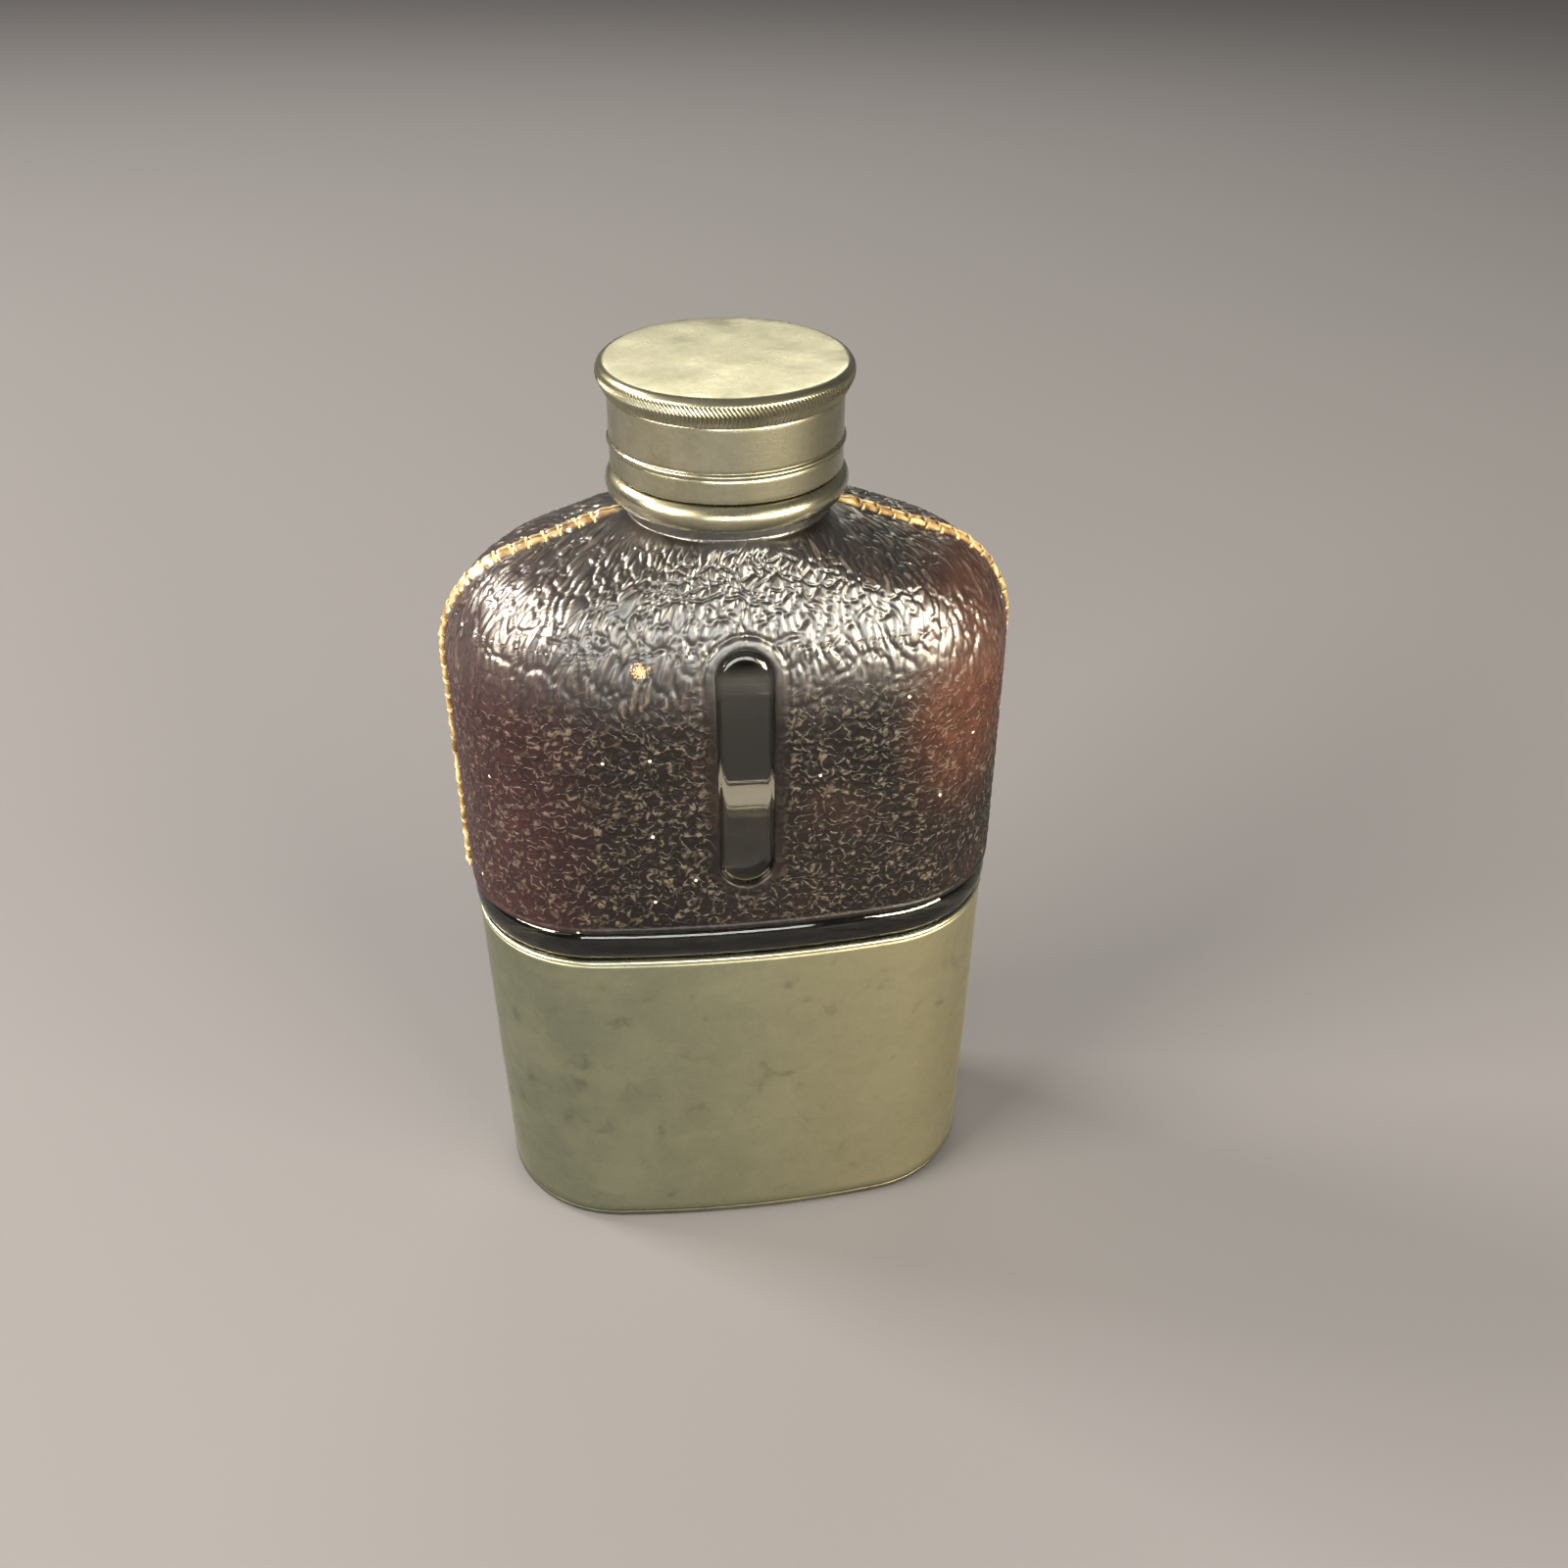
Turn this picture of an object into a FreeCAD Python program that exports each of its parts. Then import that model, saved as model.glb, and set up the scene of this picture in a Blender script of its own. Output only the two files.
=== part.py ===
import FreeCAD, Part
import math
import os

import Sketcher

# Hip flask: a moulded glass bottle, covered in leather above and by a pull-off drinking cup
# below, with a metal collar cemented on its neck and a screw cap lined with cork.
# Millimetres, +Z up, origin at the bottom centre of the cup, front (with the window) to -Y.

V = FreeCAD.Vector

SIZES = {
    # leather-covered body: outline seen from the front, and from the side
    "body_half_width": 37.5,
    "body_half_depth": 20.0,
    "shoulder_z": 92.4,
    "shoulder_radius": 14.3,
    "shoulder_slope": 20.0,
    "shoulder_top_radius": 13.2,
    "side_curve_z": 86.0,
    "side_curve_radius": 49.5,
    "flat_half_angle": 7.0,
    # leather and its slot
    "leather_bottom_z": 57.5,
    "leather_thickness": 1.2,
    "glue_gap": 0.1,
    "slot_half_width": 3.65,
    "slot_bottom_z": 64.8,
    "slot_top_z": 99.5,
    # seam along both sides
    "seam_gap": 0.06,
    "seam_half_width": 1.3,
    "seam_height": 0.75,
    "seam_root": 0.6,
    "seam_top_x": 14.6,
    "stitch_radius": 0.4,
    "stitch_length": 3.2,
    "stitch_pitch": 2.25,
    # glass bottle
    "glass_wall": 2.6,
    "glass_bottom_z": 1.1,
    "glass_floor": 3.6,
    "glass_foot_round": 5.0,
    "glass_split_z": 56.0,
    "rib_half_width": 37.3,
    "rib_half_depth": 19.8,
    "rib_bottom_z": 52.55,
    "rib_top_z": 57.3,
    "rib_round": 1.0,
    "boss_margin": 0.45,
    "boss_sink": 0.55,
    "neck_ring_radius": 12.2,
    "neck_ring_top_z": 113.0,
    "neck_radius": 10.2,
    "neck_bore_radius": 7.8,
    "neck_top_z": 124.0,
    "mouth_round": 0.8,
    # drinking cup
    "cup_rim_half_width": 37.0,
    "cup_rim_half_depth": 19.5,
    "cup_base_half_width": 36.2,
    "cup_base_half_depth": 19.25,
    "cup_wall_bottom_z": 1.9,
    "cup_wall_top_z": 51.6,
    "cup_wall_thickness": 0.65,
    "cup_clearance": 0.25,
    "cup_floor": 0.8,
    "cup_lip": 0.5,
    "cup_lip_top_z": 3.4,
    "cup_base_round": 1.7,
    "cup_rim_top_z": 52.35,
    "cup_rim_proud": 0.12,
    # collar on the neck
    "collar_bore_radius": 10.9,
    "collar_bottom_z": 113.05,
    "collar_bead_centre_radius": 13.35,
    "collar_bead_radius": 1.95,
    "collar_bead_z": 115.0,
    "collar_top_z": 123.2,
    "cement_bottom_z": 113.05,
    "cement_top_z": 122.8,
    # screw thread, one start, right-handed
    "thread_pitch": 3.0,
    "male_root_radius": 12.0,
    "female_root_radius": 12.8,
    "thread_height": 0.65,
    "thread_base": 1.4,
    "thread_crest": 0.8,
    "thread_bite": 0.2,
    "male_thread_z": 118.0,
    "male_thread_rise": 4.2,
    "female_thread_rise": 3.5,
    # cap
    "cap_bottom_z": 117.35,
    "cap_wall_radius": 14.6,
    "cap_bore_radius": 13.7,
    "cap_bead_z": 120.4,
    "cap_bead_height": 1.0,
    "cap_bead_proud": 0.28,
    "ring_bottom_z": 117.8,
    "ring_top_z": 123.8,
    "cap_disc_bottom_z": 126.4,
    "cap_disc_radius": 15.83,
    "cap_top_z": 130.1,
    "cap_disc_thickness": 1.0,
    "cap_disc_round": 1.5,
    "plate_bottom_z": 126.62,
    "plate_top_z": 127.3,
    "plate_hole_radius": 1.56,
    # cork liner hung in the cap on its rivet
    "cork_radius": 11.4,
    "cork_bottom_z": 124.04,
    "cork_top_z": 126.05,
    "backing_top_z": 126.55,
    "rivet_radius": 1.5,
    "rivet_head_radius": 2.6,
    "rivet_head_bottom_z": 127.36,
    "rivet_head_top_z": 128.3,
}

doc = FreeCAD.newDocument("hip_flask")
dims = doc.addObject("Spreadsheet::Sheet", "dims")
for row, (alias, size) in enumerate(SIZES.items(), start=1):
    dims.set(f"A{row}", str(size))
    dims.setAlias(f"A{row}", alias)
doc.recompute()

SUB_PARTS = []


def sub_part(feature, label):
    """Name a finished object as one physical piece of the flask."""
    feature.Label = label
    SUB_PARTS.append(feature)
    return feature


def value(expression):
    """The number that an expression on the sheet stands for."""
    return float(dims.evalExpression(expression))


def named(text):
    """Write sizes as words: 'neck_radius + 1' becomes 'dims.neck_radius + 1'."""
    words = []
    for word in text.replace("(", "( ").replace(")", " )").split():
        words.append(f"dims.{word}" if word in SIZES else word)
    return " ".join(words)


# ---------------------------------------------------------------- sketches


def constrain(sketch, kind, geometry, expression):
    """Add one dimension and bind it to the sheet."""
    number = sketch.addConstraint(Sketcher.Constraint(kind, *geometry, value(expression)))
    sketch.setExpression(f"Constraints[{number}]", expression)


def upright_plane(body):
    """The body's own XZ plane."""
    return next(o for o in body.Origin.OriginFeatures if o.Role == "XZ_Plane")


def draw_oval(sketch, half_width, half_depth):
    """Four tangent arcs: two flat ones front and back, two round ones at the ends.

    Each flat arc turns through flat_half_angle either side of the middle, so every oval
    joins at the same slope and an oval inset all round is of the same family.
    """
    a = value(half_width)
    b = value(half_depth)
    sine = "sin(dims.flat_half_angle)"
    cosine = "cos(dims.flat_half_angle)"
    reach = f"(({half_width}) - ({half_depth})) / ({sine} + {cosine} - 1)"
    end_radius = f"({half_width}) - {sine} * {reach}"
    flat_radius = f"({half_depth}) + {cosine} * {reach}"
    end = value(end_radius)
    flat = value(flat_radius)
    turn = math.pi / 2 - math.radians(SIZES["flat_half_angle"])
    end_arcs = [
        (V(a - end, 0, 0), -turn, turn),
        (V(end - a, 0, 0), math.pi - turn, math.pi + turn),
    ]
    flat_arcs = [
        (V(0, b - flat, 0), turn, math.pi - turn),
        (V(0, flat - b, 0), math.pi + turn, 2 * math.pi - turn),
    ]
    up = V(0, 0, 1)
    arcs = []
    for radius, group in ((end, end_arcs), (flat, flat_arcs)):
        for centre, start, stop in group:
            arcs.append(Part.ArcOfCircle(Part.Circle(centre, up, radius), start, stop))
    right, left, back, front = (sketch.addGeometry(arc, False) for arc in arcs)
    joints = ((right, 2, back, 1), (back, 2, left, 1), (left, 2, front, 1), (front, 2, right, 1))
    for first, first_end, second, second_end in joints:
        touch = Sketcher.Constraint("Tangent", first, first_end, second, second_end)
        sketch.addConstraint(touch)
    sketch.addConstraint(Sketcher.Constraint("PointOnObject", right, 3, -1))
    sketch.addConstraint(Sketcher.Constraint("PointOnObject", left, 3, -1))
    sketch.addConstraint(Sketcher.Constraint("PointOnObject", back, 3, -2))
    sketch.addConstraint(Sketcher.Constraint("Equal", right, left))
    sketch.addConstraint(Sketcher.Constraint("Equal", back, front))
    constrain(sketch, "Radius", (right,), end_radius)
    constrain(sketch, "Radius", (back,), flat_radius)
    constrain(sketch, "DistanceX", (-1, 1, right, 3), f"{sine} * {reach}")


def oval_sketch(name, half_width, half_depth, height):
    """A flat sketch of one oval at a height."""
    sketch = doc.addObject("Sketcher::SketchObject", name)
    sketch.setExpression("Placement.Base.z", height)
    draw_oval(sketch, half_width, half_depth)
    return sketch


HALF_CIRCLE = 0.001


def outline_sketch(sketch, corners):
    """A closed outline through corners (x, z); a third entry makes the edge that leaves
    the corner an arc: (radius, side), with side +1 where it bulges to the right of its
    chord and -1 where it bulges to the left. Where the arc is a half circle its centre is
    held on the chord instead of its radius being held, because both say the same."""
    points = [V(value(c[0]), value(c[1]), 0) for c in corners]
    count = len(corners)
    ends = []
    for number, corner in enumerate(corners):
        start = points[number]
        stop = points[(number + 1) % count]
        if len(corner) == 2:
            edge = sketch.addGeometry(Part.LineSegment(start, stop), False)
            ends.append((edge, 1, 2))
            continue
        radius, side = corner[2]
        chord = stop - start
        right = V(chord.y, -chord.x, 0).normalize()
        middle = (start + stop) * 0.5
        size = value(radius)
        back_off = math.sqrt(max(size * size - chord.Length**2 / 4, 0))
        through = middle + right * (side * (size - back_off))
        arc = Part.Arc(start, through, stop)
        edge = sketch.addGeometry(arc, False)
        if back_off > HALF_CIRCLE:
            constrain(sketch, "Radius", (edge,), radius)
        elif abs(chord.x) > abs(chord.y):
            constrain(sketch, "DistanceY", (-1, 1, edge, 3), corner[1])
        else:
            constrain(sketch, "DistanceX", (-1, 1, edge, 3), corner[0])
        one_end = (sketch.getPoint(edge, 1) - start).Length
        other_end = (sketch.getPoint(edge, 2) - start).Length
        ends.append((edge, 1, 2) if one_end < other_end else (edge, 2, 1))
    for number, corner in enumerate(corners):
        edge, first, _ = ends[number]
        before, _, last = ends[number - 1]
        sketch.addConstraint(Sketcher.Constraint("Coincident", before, last, edge, first))
        for kind, expression in (("DistanceX", corner[0]), ("DistanceY", corner[1])):
            constrain(sketch, kind, (-1, 1, edge, first), expression)


def upright_sketch(body, name, corners):
    """An outline in the body's XZ plane."""
    sketch = body.newObject("Sketcher::SketchObject", name)
    sketch.AttachmentSupport = [(upright_plane(body), "")]
    sketch.MapMode = "FlatFace"
    outline_sketch(sketch, [(named(c[0]), named(c[1]), *arc_words(c)) for c in corners])
    return sketch


def arc_words(corner):
    """The arc entry of a corner, if it has one, with its radius written for the sheet."""
    return [(named(corner[2][0]), corner[2][1])] if len(corner) > 2 else []


# ---------------------------------------------------------------- turned pieces


def turned(label, corners):
    """A piece turned about the neck's axis from its half section."""
    body = doc.addObject("PartDesign::Body", label)
    sketch = upright_sketch(body, f"{label}_section", corners)
    turn = body.newObject("PartDesign::Revolution", f"{label}_turned")
    turn.Profile = sketch
    turn.ReferenceAxis = (sketch, ["V_Axis"])
    turn.Angle = 360
    doc.recompute()
    return body


def add_thread(body, name, root, height, start_z, rise):
    """A helical ridge of trapezoid section on the body's wall: outwards where height is
    positive, inwards where it is negative. Its foot bites into the wall."""
    bite = "thread_bite" if value(named(height)) > 0 else "-1 * thread_bite"
    corners = [
        (f"{root} - {bite}", f"{start_z} - thread_base / 2"),
        (f"{root} + {height}", f"{start_z} - thread_crest / 2"),
        (f"{root} + {height}", f"{start_z} + thread_crest / 2"),
        (f"{root} - {bite}", f"{start_z} + thread_base / 2"),
    ]
    section = upright_sketch(body, f"{name}_section", corners)
    helix = body.newObject("PartDesign::AdditiveHelix", name)
    helix.Profile = section
    helix.ReferenceAxis = (section, ["V_Axis"])
    helix.Mode = "pitch-height-angle"
    helix.setExpression("Pitch", "dims.thread_pitch")
    helix.setExpression("Height", named(rise))
    doc.recompute()


# ---------------------------------------------------------------- body outline


# where the cross-sections lie: shares of the upright side, degrees round the shoulder's
# arc and shares of the slope; and how much of an inset the slope's end steps inwards
UPRIGHT_SHARES = (0, 0.4, 0.8, 1)
ARC_DEGREES = (0, 18, 36, 54, 70)
SLOPE_SHARES = (0.33, 0.66, 1.0)
SLOPE_END_STEP = 0.7


def body_station(inset, corner_turn=None, slope_share=None, height=None):
    """Half width, half depth and height of one cross-section of the shouldered body, at
    a distance inset inside the leather's surface.

    Seen from the front the outline is upright, turns through an arc and then runs up a
    straight slope to the neck. Seen from the side it is upright and then one long arc.
    """
    arc = f"(dims.shoulder_radius - {inset})"
    slope_turn = "(90 - dims.shoulder_slope)"
    if height is not None:
        z = height
        half_width = f"dims.body_half_width - {inset}"
    elif corner_turn is not None:
        z = f"dims.shoulder_z + {arc} * sin({corner_turn})"
        half_width = f"dims.body_half_width - dims.shoulder_radius + {arc} * cos({corner_turn})"
    else:
        arc_x = f"(dims.body_half_width - dims.shoulder_radius + {arc} * cos({slope_turn}))"
        arc_z = f"(dims.shoulder_z + {arc} * sin({slope_turn}))"
        slope_end = f"dims.shoulder_top_radius - {SLOPE_END_STEP} * {inset}"
        run = f"{slope_share} * ({arc_x} - ({slope_end}))"
        half_width = f"{arc_x} - {run}"
        z = f"{arc_z} + {run} * tan(dims.shoulder_slope)"
    if value(z) > SIZES["side_curve_z"]:
        half_depth = (
            "dims.body_half_depth - dims.side_curve_radius + "
            f"sqrt((dims.side_curve_radius - {inset})^2 - ({z} - dims.side_curve_z)^2)"
        )
    else:
        half_depth = f"dims.body_half_depth - {inset}"
    return half_width, half_depth, z


def body_stations(inset, bottom):
    """Cross-sections from the bottom to the neck, closest where the outline turns."""
    stations = []
    for share in UPRIGHT_SHARES:
        height = f"({bottom}) + {share} * (dims.side_curve_z - ({bottom}))"
        stations.append(body_station(inset, height=height))
    for turn in ARC_DEGREES:
        stations.append(body_station(inset, corner_turn=turn))
    for share in SLOPE_SHARES:
        stations.append(body_station(inset, slope_share=share))
    return stations


def body_solid(name, inset, bottom):
    """The shouldered body as a solid lofted through its cross-sections."""
    sections = []
    for number, station in enumerate(body_stations(f"({inset})", bottom)):
        sections.append(oval_sketch(f"{name}_section_{number}", *station))
    loft = doc.addObject("Part::Loft", name)
    loft.Sections = sections
    loft.Solid = True
    loft.Ruled = False
    loft.MaxDegree = 3
    return loft


def tapered_solid(name, low, high):
    """A solid between two ovals, each (half width, half depth, height)."""
    loft = doc.addObject("Part::Loft", name)
    ends = ((f"{name}_low", low), (f"{name}_high", high))
    loft.Sections = [oval_sketch(end_name, *map(named, oval)) for end_name, oval in ends]
    loft.Solid = True
    loft.Ruled = True
    return loft


def cylinder(name, radius, low, high):
    solid = doc.addObject("Part::Cylinder", name)
    solid.setExpression("Radius", named(radius))
    solid.setExpression("Height", named(f"{high} - ( {low} )"))
    solid.setExpression("Placement.Base.z", named(low))
    return solid


def combined(kind, name, *parts):
    """Part::Cut or Part::Common of two objects, Part::MultiFuse of several."""
    feature = doc.addObject(kind, name)
    if kind == "Part::MultiFuse":
        feature.Shapes = list(parts)
    else:
        feature.Base, feature.Tool = parts
    return feature


def rounded(name, base, radius, picks):
    """Fillet the edges of base that picks accepts, each given by its bounding box."""
    doc.recompute()
    feature = doc.addObject("Part::Fillet", name)
    feature.Base = base
    edges = []
    for number, edge in enumerate(base.Shape.Edges, start=1):
        if picks(edge.BoundBox):
            edges.append((number, value(named(radius)), value(named(radius))))
    feature.Edges = edges
    return feature


TOUCH = 0.01


def flat_at(height):
    """Accepts an edge that lies all in the horizontal plane at that height."""
    z = value(named(height))
    return lambda box: abs(box.ZMin - z) < TOUCH and abs(box.ZMax - z) < TOUCH


def slot_solid(name, margin):
    """A slot with round ends, run through the front wall, smaller by margin all round."""
    body = doc.addObject("PartDesign::Body", name)
    half = f"( slot_half_width - {margin} )"
    low = f"slot_bottom_z + {margin} + {half}"
    high = f"slot_top_z - {margin} - {half}"
    corners = [
        (half, low),
        (half, high, (half, 1)),
        (f"-1 * {half}", high),
        (f"-1 * {half}", low, (half, 1)),
    ]
    sketch = upright_sketch(body, f"{name}_outline", corners)
    pad = body.newObject("PartDesign::Pad", f"{name}_pad")
    pad.Profile = sketch
    pad.setExpression("Length", "2 * dims.body_half_depth")
    doc.recompute()
    return body


# ---------------------------------------------------------------- glass bottle

GLASS_INSET = "dims.leather_thickness + dims.glue_gap"
LINING = "( cup_wall_thickness + cup_clearance )"


def make_glass():
    lower = tapered_solid(
        "glass_lower",
        (f"cup_base_half_width - {LINING}", f"cup_base_half_depth - {LINING}", "glass_bottom_z"),
        (f"cup_rim_half_width - {LINING}", f"cup_rim_half_depth - {LINING}", "glass_split_z"),
    )
    foot = rounded("glass_foot", lower, "glass_foot_round", flat_at("glass_bottom_z"))
    upper = body_solid("glass_upper", GLASS_INSET, "dims.glass_split_z")
    rib_block = tapered_solid(
        "glass_rib_block",
        ("rib_half_width", "rib_half_depth", "rib_bottom_z"),
        ("rib_half_width", "rib_half_depth", "rib_top_z"),
    )
    rib = rounded("glass_rib", rib_block, "rib_round", lambda box: box.ZLength < TOUCH)
    ring = cylinder("glass_neck_ring", "neck_ring_radius", "shoulder_z", "neck_ring_top_z")
    neck = cylinder("glass_neck", "neck_radius", "shoulder_z", "neck_top_z")
    boss_block = body_solid("boss_block", "dims.boss_sink", "dims.leather_bottom_z")
    boss_slot = slot_solid("boss_slot", "boss_margin")
    boss = combined("Part::Common", "sight_boss", boss_block, boss_slot)
    outside = combined("Part::MultiFuse", "glass_outside", foot, upper, rib, ring, neck, boss)

    wall = f"( {LINING} + glass_wall )"
    floor = "glass_bottom_z + glass_floor"
    hollow_low = tapered_solid(
        "hollow_lower",
        (f"cup_base_half_width - {wall}", f"cup_base_half_depth - {wall}", floor),
        (f"cup_rim_half_width - {wall}", f"cup_rim_half_depth - {wall}", "glass_split_z"),
    )
    hollow_foot = rounded("hollow_foot", hollow_low, "glass_foot_round / 2", flat_at(floor))
    hollow_inset = f"{GLASS_INSET} + dims.glass_wall"
    hollow_top = body_solid("hollow_upper", hollow_inset, "dims.glass_split_z")
    bore = cylinder("neck_bore", "neck_bore_radius", "shoulder_z", "neck_top_z + 1")
    hollow = combined("Part::MultiFuse", "glass_hollow", hollow_foot, hollow_top, bore)
    bottle = combined("Part::Cut", "glass_cut", outside, hollow)
    mouth = rounded("glass_bottle", bottle, "mouth_round", flat_at("neck_top_z"))
    return sub_part(mouth, "glass_bottle")


# ---------------------------------------------------------------- leather and seams


def half_space(name, side):
    """A block that holds everything beyond the seam's gap, in front (-1) or behind (1)."""
    block = doc.addObject("Part::Box", name)
    block.setExpression("Length", "4 * dims.body_half_width")
    block.setExpression("Width", "2 * dims.body_half_depth")
    block.setExpression("Height", "2 * dims.shoulder_z")
    block.setExpression("Placement.Base.x", "-2 * dims.body_half_width")
    if side > 0:
        block.setExpression("Placement.Base.y", "dims.seam_gap / 2")
    else:
        block.setExpression("Placement.Base.y", "-2 * dims.body_half_depth - dims.seam_gap / 2")
    return block


def seam_ridge(name, side, across):
    """The panel's turned-out edge along the seam, on the right (1) or left (-1)."""
    body = doc.addObject("PartDesign::Body", name)
    centre = "( body_half_width - shoulder_radius )"
    turn = "( 90 - shoulder_slope )"

    def edge_points(grow):
        arc = f"( shoulder_radius + {grow} )"
        arc_x = f"( {centre} + {arc} * cos( {turn} ) )"
        arc_z = f"( shoulder_z + {arc} * sin( {turn} ) )"
        top_z = f"{arc_z} + ( {arc_x} - seam_top_x ) * tan( shoulder_slope )"
        return (
            (f"{side} * ( body_half_width + {grow} )", "leather_bottom_z"),
            (f"{side} * ( body_half_width + {grow} )", "shoulder_z", arc),
            (f"{side} * {arc_x}", arc_z),
            (f"{side} * seam_top_x", top_z),
        )

    outer = edge_points("seam_height")
    inner = edge_points("( -1 * seam_root )")
    corners = [
        outer[0],
        (outer[1][0], outer[1][1], (outer[1][2], side)),
        outer[2],
        outer[3],
        inner[3],
        (inner[2][0], inner[2][1], (inner[1][2], -side)),
        inner[1][:2],
        inner[0],
    ]
    sketch = upright_sketch(body, f"{name}_outline", corners)
    sketch.setExpression("AttachmentOffset.Base.z", f"{-across} * dims.seam_gap / 2")
    pad = body.newObject("PartDesign::Pad", f"{name}_pad")
    pad.Profile = sketch
    pad.Reversed = across > 0
    pad.setExpression("Length", "dims.seam_half_width - dims.seam_gap / 2")
    doc.recompute()
    return body


def make_leather(label, side):
    outside = body_solid(f"{label}_outside", "0", "dims.leather_bottom_z")
    inside = body_solid(f"{label}_inside", "dims.leather_thickness", "dims.leather_bottom_z - 1")
    neck_radius = "neck_ring_radius + glue_gap"
    neck_hole = cylinder(f"{label}_neck_hole", neck_radius, "shoulder_z", "neck_top_z")
    inner = combined("Part::MultiFuse", f"{label}_core", inside, neck_hole)
    shell = combined("Part::Cut", f"{label}_shell", outside, inner)
    panel = combined("Part::Common", f"{label}_panel", shell, half_space(f"{label}_half", side))
    if side < 0:
        slot = slot_solid(f"{label}_slot", "0")
        panel = combined("Part::Cut", f"{label}_slotted", panel, slot)
    right = seam_ridge(f"{label}_ridge_right", 1, side)
    left = seam_ridge(f"{label}_ridge_left", -1, side)
    whole = combined("Part::MultiFuse", f"{label}_whole", panel, right, left)
    return sub_part(whole, label)


def seam_points():
    """Where the stitches cross the seam's crest: (x, z) along the upright side, round
    the shoulder's arc and up the slope, one pitch apart."""
    grow = SIZES["seam_height"]
    radius = SIZES["shoulder_radius"] + grow
    centre_x = SIZES["body_half_width"] - SIZES["shoulder_radius"]
    turn = math.radians(90 - SIZES["shoulder_slope"])
    upright = SIZES["shoulder_z"] - SIZES["leather_bottom_z"]
    arc_x = centre_x + radius * math.cos(turn)
    arc_z = SIZES["shoulder_z"] + radius * math.sin(turn)
    slope = (arc_x - SIZES["seam_top_x"]) / math.sin(turn)
    pitch = SIZES["stitch_pitch"]
    total = upright + radius * turn + slope
    points = []
    for number in range(int(total / pitch)):
        along = (number + 0.5) * pitch
        if along < upright:
            points.append((centre_x + radius, SIZES["leather_bottom_z"] + along))
        elif along < upright + radius * turn:
            angle = (along - upright) / radius
            x = centre_x + radius * math.cos(angle)
            points.append((x, SIZES["shoulder_z"] + radius * math.sin(angle)))
        else:
            up = along - upright - radius * turn
            points.append((arc_x - up * math.sin(turn), arc_z + up * math.cos(turn)))
    return points


def make_thread(label, side):
    """The linen thread's stitches over one seam: a short round bar for each."""
    stitches = []
    for number, (x, z) in enumerate(seam_points()):
        stitch = doc.addObject("Part::Cylinder", f"{label}_{number}")
        stitch.setExpression("Radius", "dims.stitch_radius")
        stitch.setExpression("Height", "dims.stitch_length")
        turn = FreeCAD.Rotation(V(1, 0, 0), -90)
        stitch.Placement = FreeCAD.Placement(V(side * x, -SIZES["stitch_length"] / 2, z), turn)
        stitches.append(stitch)
    group = doc.addObject("Part::Compound", label)
    group.Links = stitches
    return sub_part(group, label)


# ---------------------------------------------------------------- collar and cement


def make_collar():
    bead_low = "collar_bead_z - collar_bead_radius"
    bead_high = "collar_bead_z + collar_bead_radius"
    collar = turned(
        "neck_collar",
        [
            ("collar_bore_radius", "collar_bottom_z"),
            ("collar_bead_centre_radius", bead_low, ("collar_bead_radius", 1)),
            ("collar_bead_centre_radius", bead_high),
            ("male_root_radius", bead_high),
            ("male_root_radius", "collar_top_z"),
            ("collar_bore_radius", "collar_top_z"),
        ],
    )
    add_thread(
        collar, "male_thread", "male_root_radius", "thread_height", "male_thread_z", "male_thread_rise"
    )
    sub_part(collar, "neck_collar")
    cement = turned(
        "neck_cement",
        [
            ("neck_radius", "cement_bottom_z"),
            ("collar_bore_radius", "cement_bottom_z"),
            ("collar_bore_radius", "cement_top_z"),
            ("neck_radius", "cement_top_z"),
        ],
    )
    sub_part(cement, "neck_cement")


# ---------------------------------------------------------------- cap and cork


def make_cap():
    bead_low = "cap_bead_z - cap_bead_height / 2"
    bead_high = "cap_bead_z + cap_bead_height / 2"
    bead_arc = "( cap_bead_height ^ 2 / 4 + cap_bead_proud ^ 2 ) / ( 2 * cap_bead_proud )"
    skirt = turned(
        "cap_skirt",
        [
            ("cap_bore_radius", "cap_bottom_z"),
            ("cap_wall_radius", "cap_bottom_z"),
            ("cap_wall_radius", bead_low, (bead_arc, 1)),
            ("cap_wall_radius", bead_high),
            ("cap_wall_radius", "cap_disc_bottom_z"),
            ("cap_bore_radius", "cap_disc_bottom_z"),
        ],
    )
    sub_part(skirt, "cap_skirt")

    ring = turned(
        "cap_thread_ring",
        [
            ("female_root_radius", "ring_bottom_z"),
            ("cap_bore_radius", "ring_bottom_z"),
            ("cap_bore_radius", "ring_top_z"),
            ("female_root_radius", "ring_top_z"),
        ],
    )
    add_thread(
        ring,
        "female_thread",
        "female_root_radius",
        "-1 * thread_height",
        "male_thread_z + thread_pitch / 2",
        "female_thread_rise",
    )
    sub_part(ring, "cap_thread_ring")

    plate = turned(
        "cap_inner_plate",
        [
            ("plate_hole_radius", "plate_bottom_z"),
            ("cap_bore_radius", "plate_bottom_z"),
            ("cap_bore_radius", "plate_top_z"),
            ("plate_hole_radius", "plate_top_z"),
        ],
    )
    sub_part(plate, "cap_inner_plate")

    round_off = "cap_disc_round"
    disc = turned(
        "cap_disc",
        [
            ("cap_bore_radius", "cap_disc_bottom_z"),
            (f"cap_disc_radius - {round_off}", "cap_disc_bottom_z", (round_off, 1)),
            ("cap_disc_radius", f"cap_disc_bottom_z + {round_off}"),
            ("cap_disc_radius", f"cap_top_z - {round_off}", (round_off, 1)),
            (f"cap_disc_radius - {round_off}", "cap_top_z"),
            ("0", "cap_top_z"),
            ("0", "cap_top_z - cap_disc_thickness"),
            ("cap_bore_radius", "cap_top_z - cap_disc_thickness"),
        ],
    )
    sub_part(disc, "cap_disc")


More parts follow.
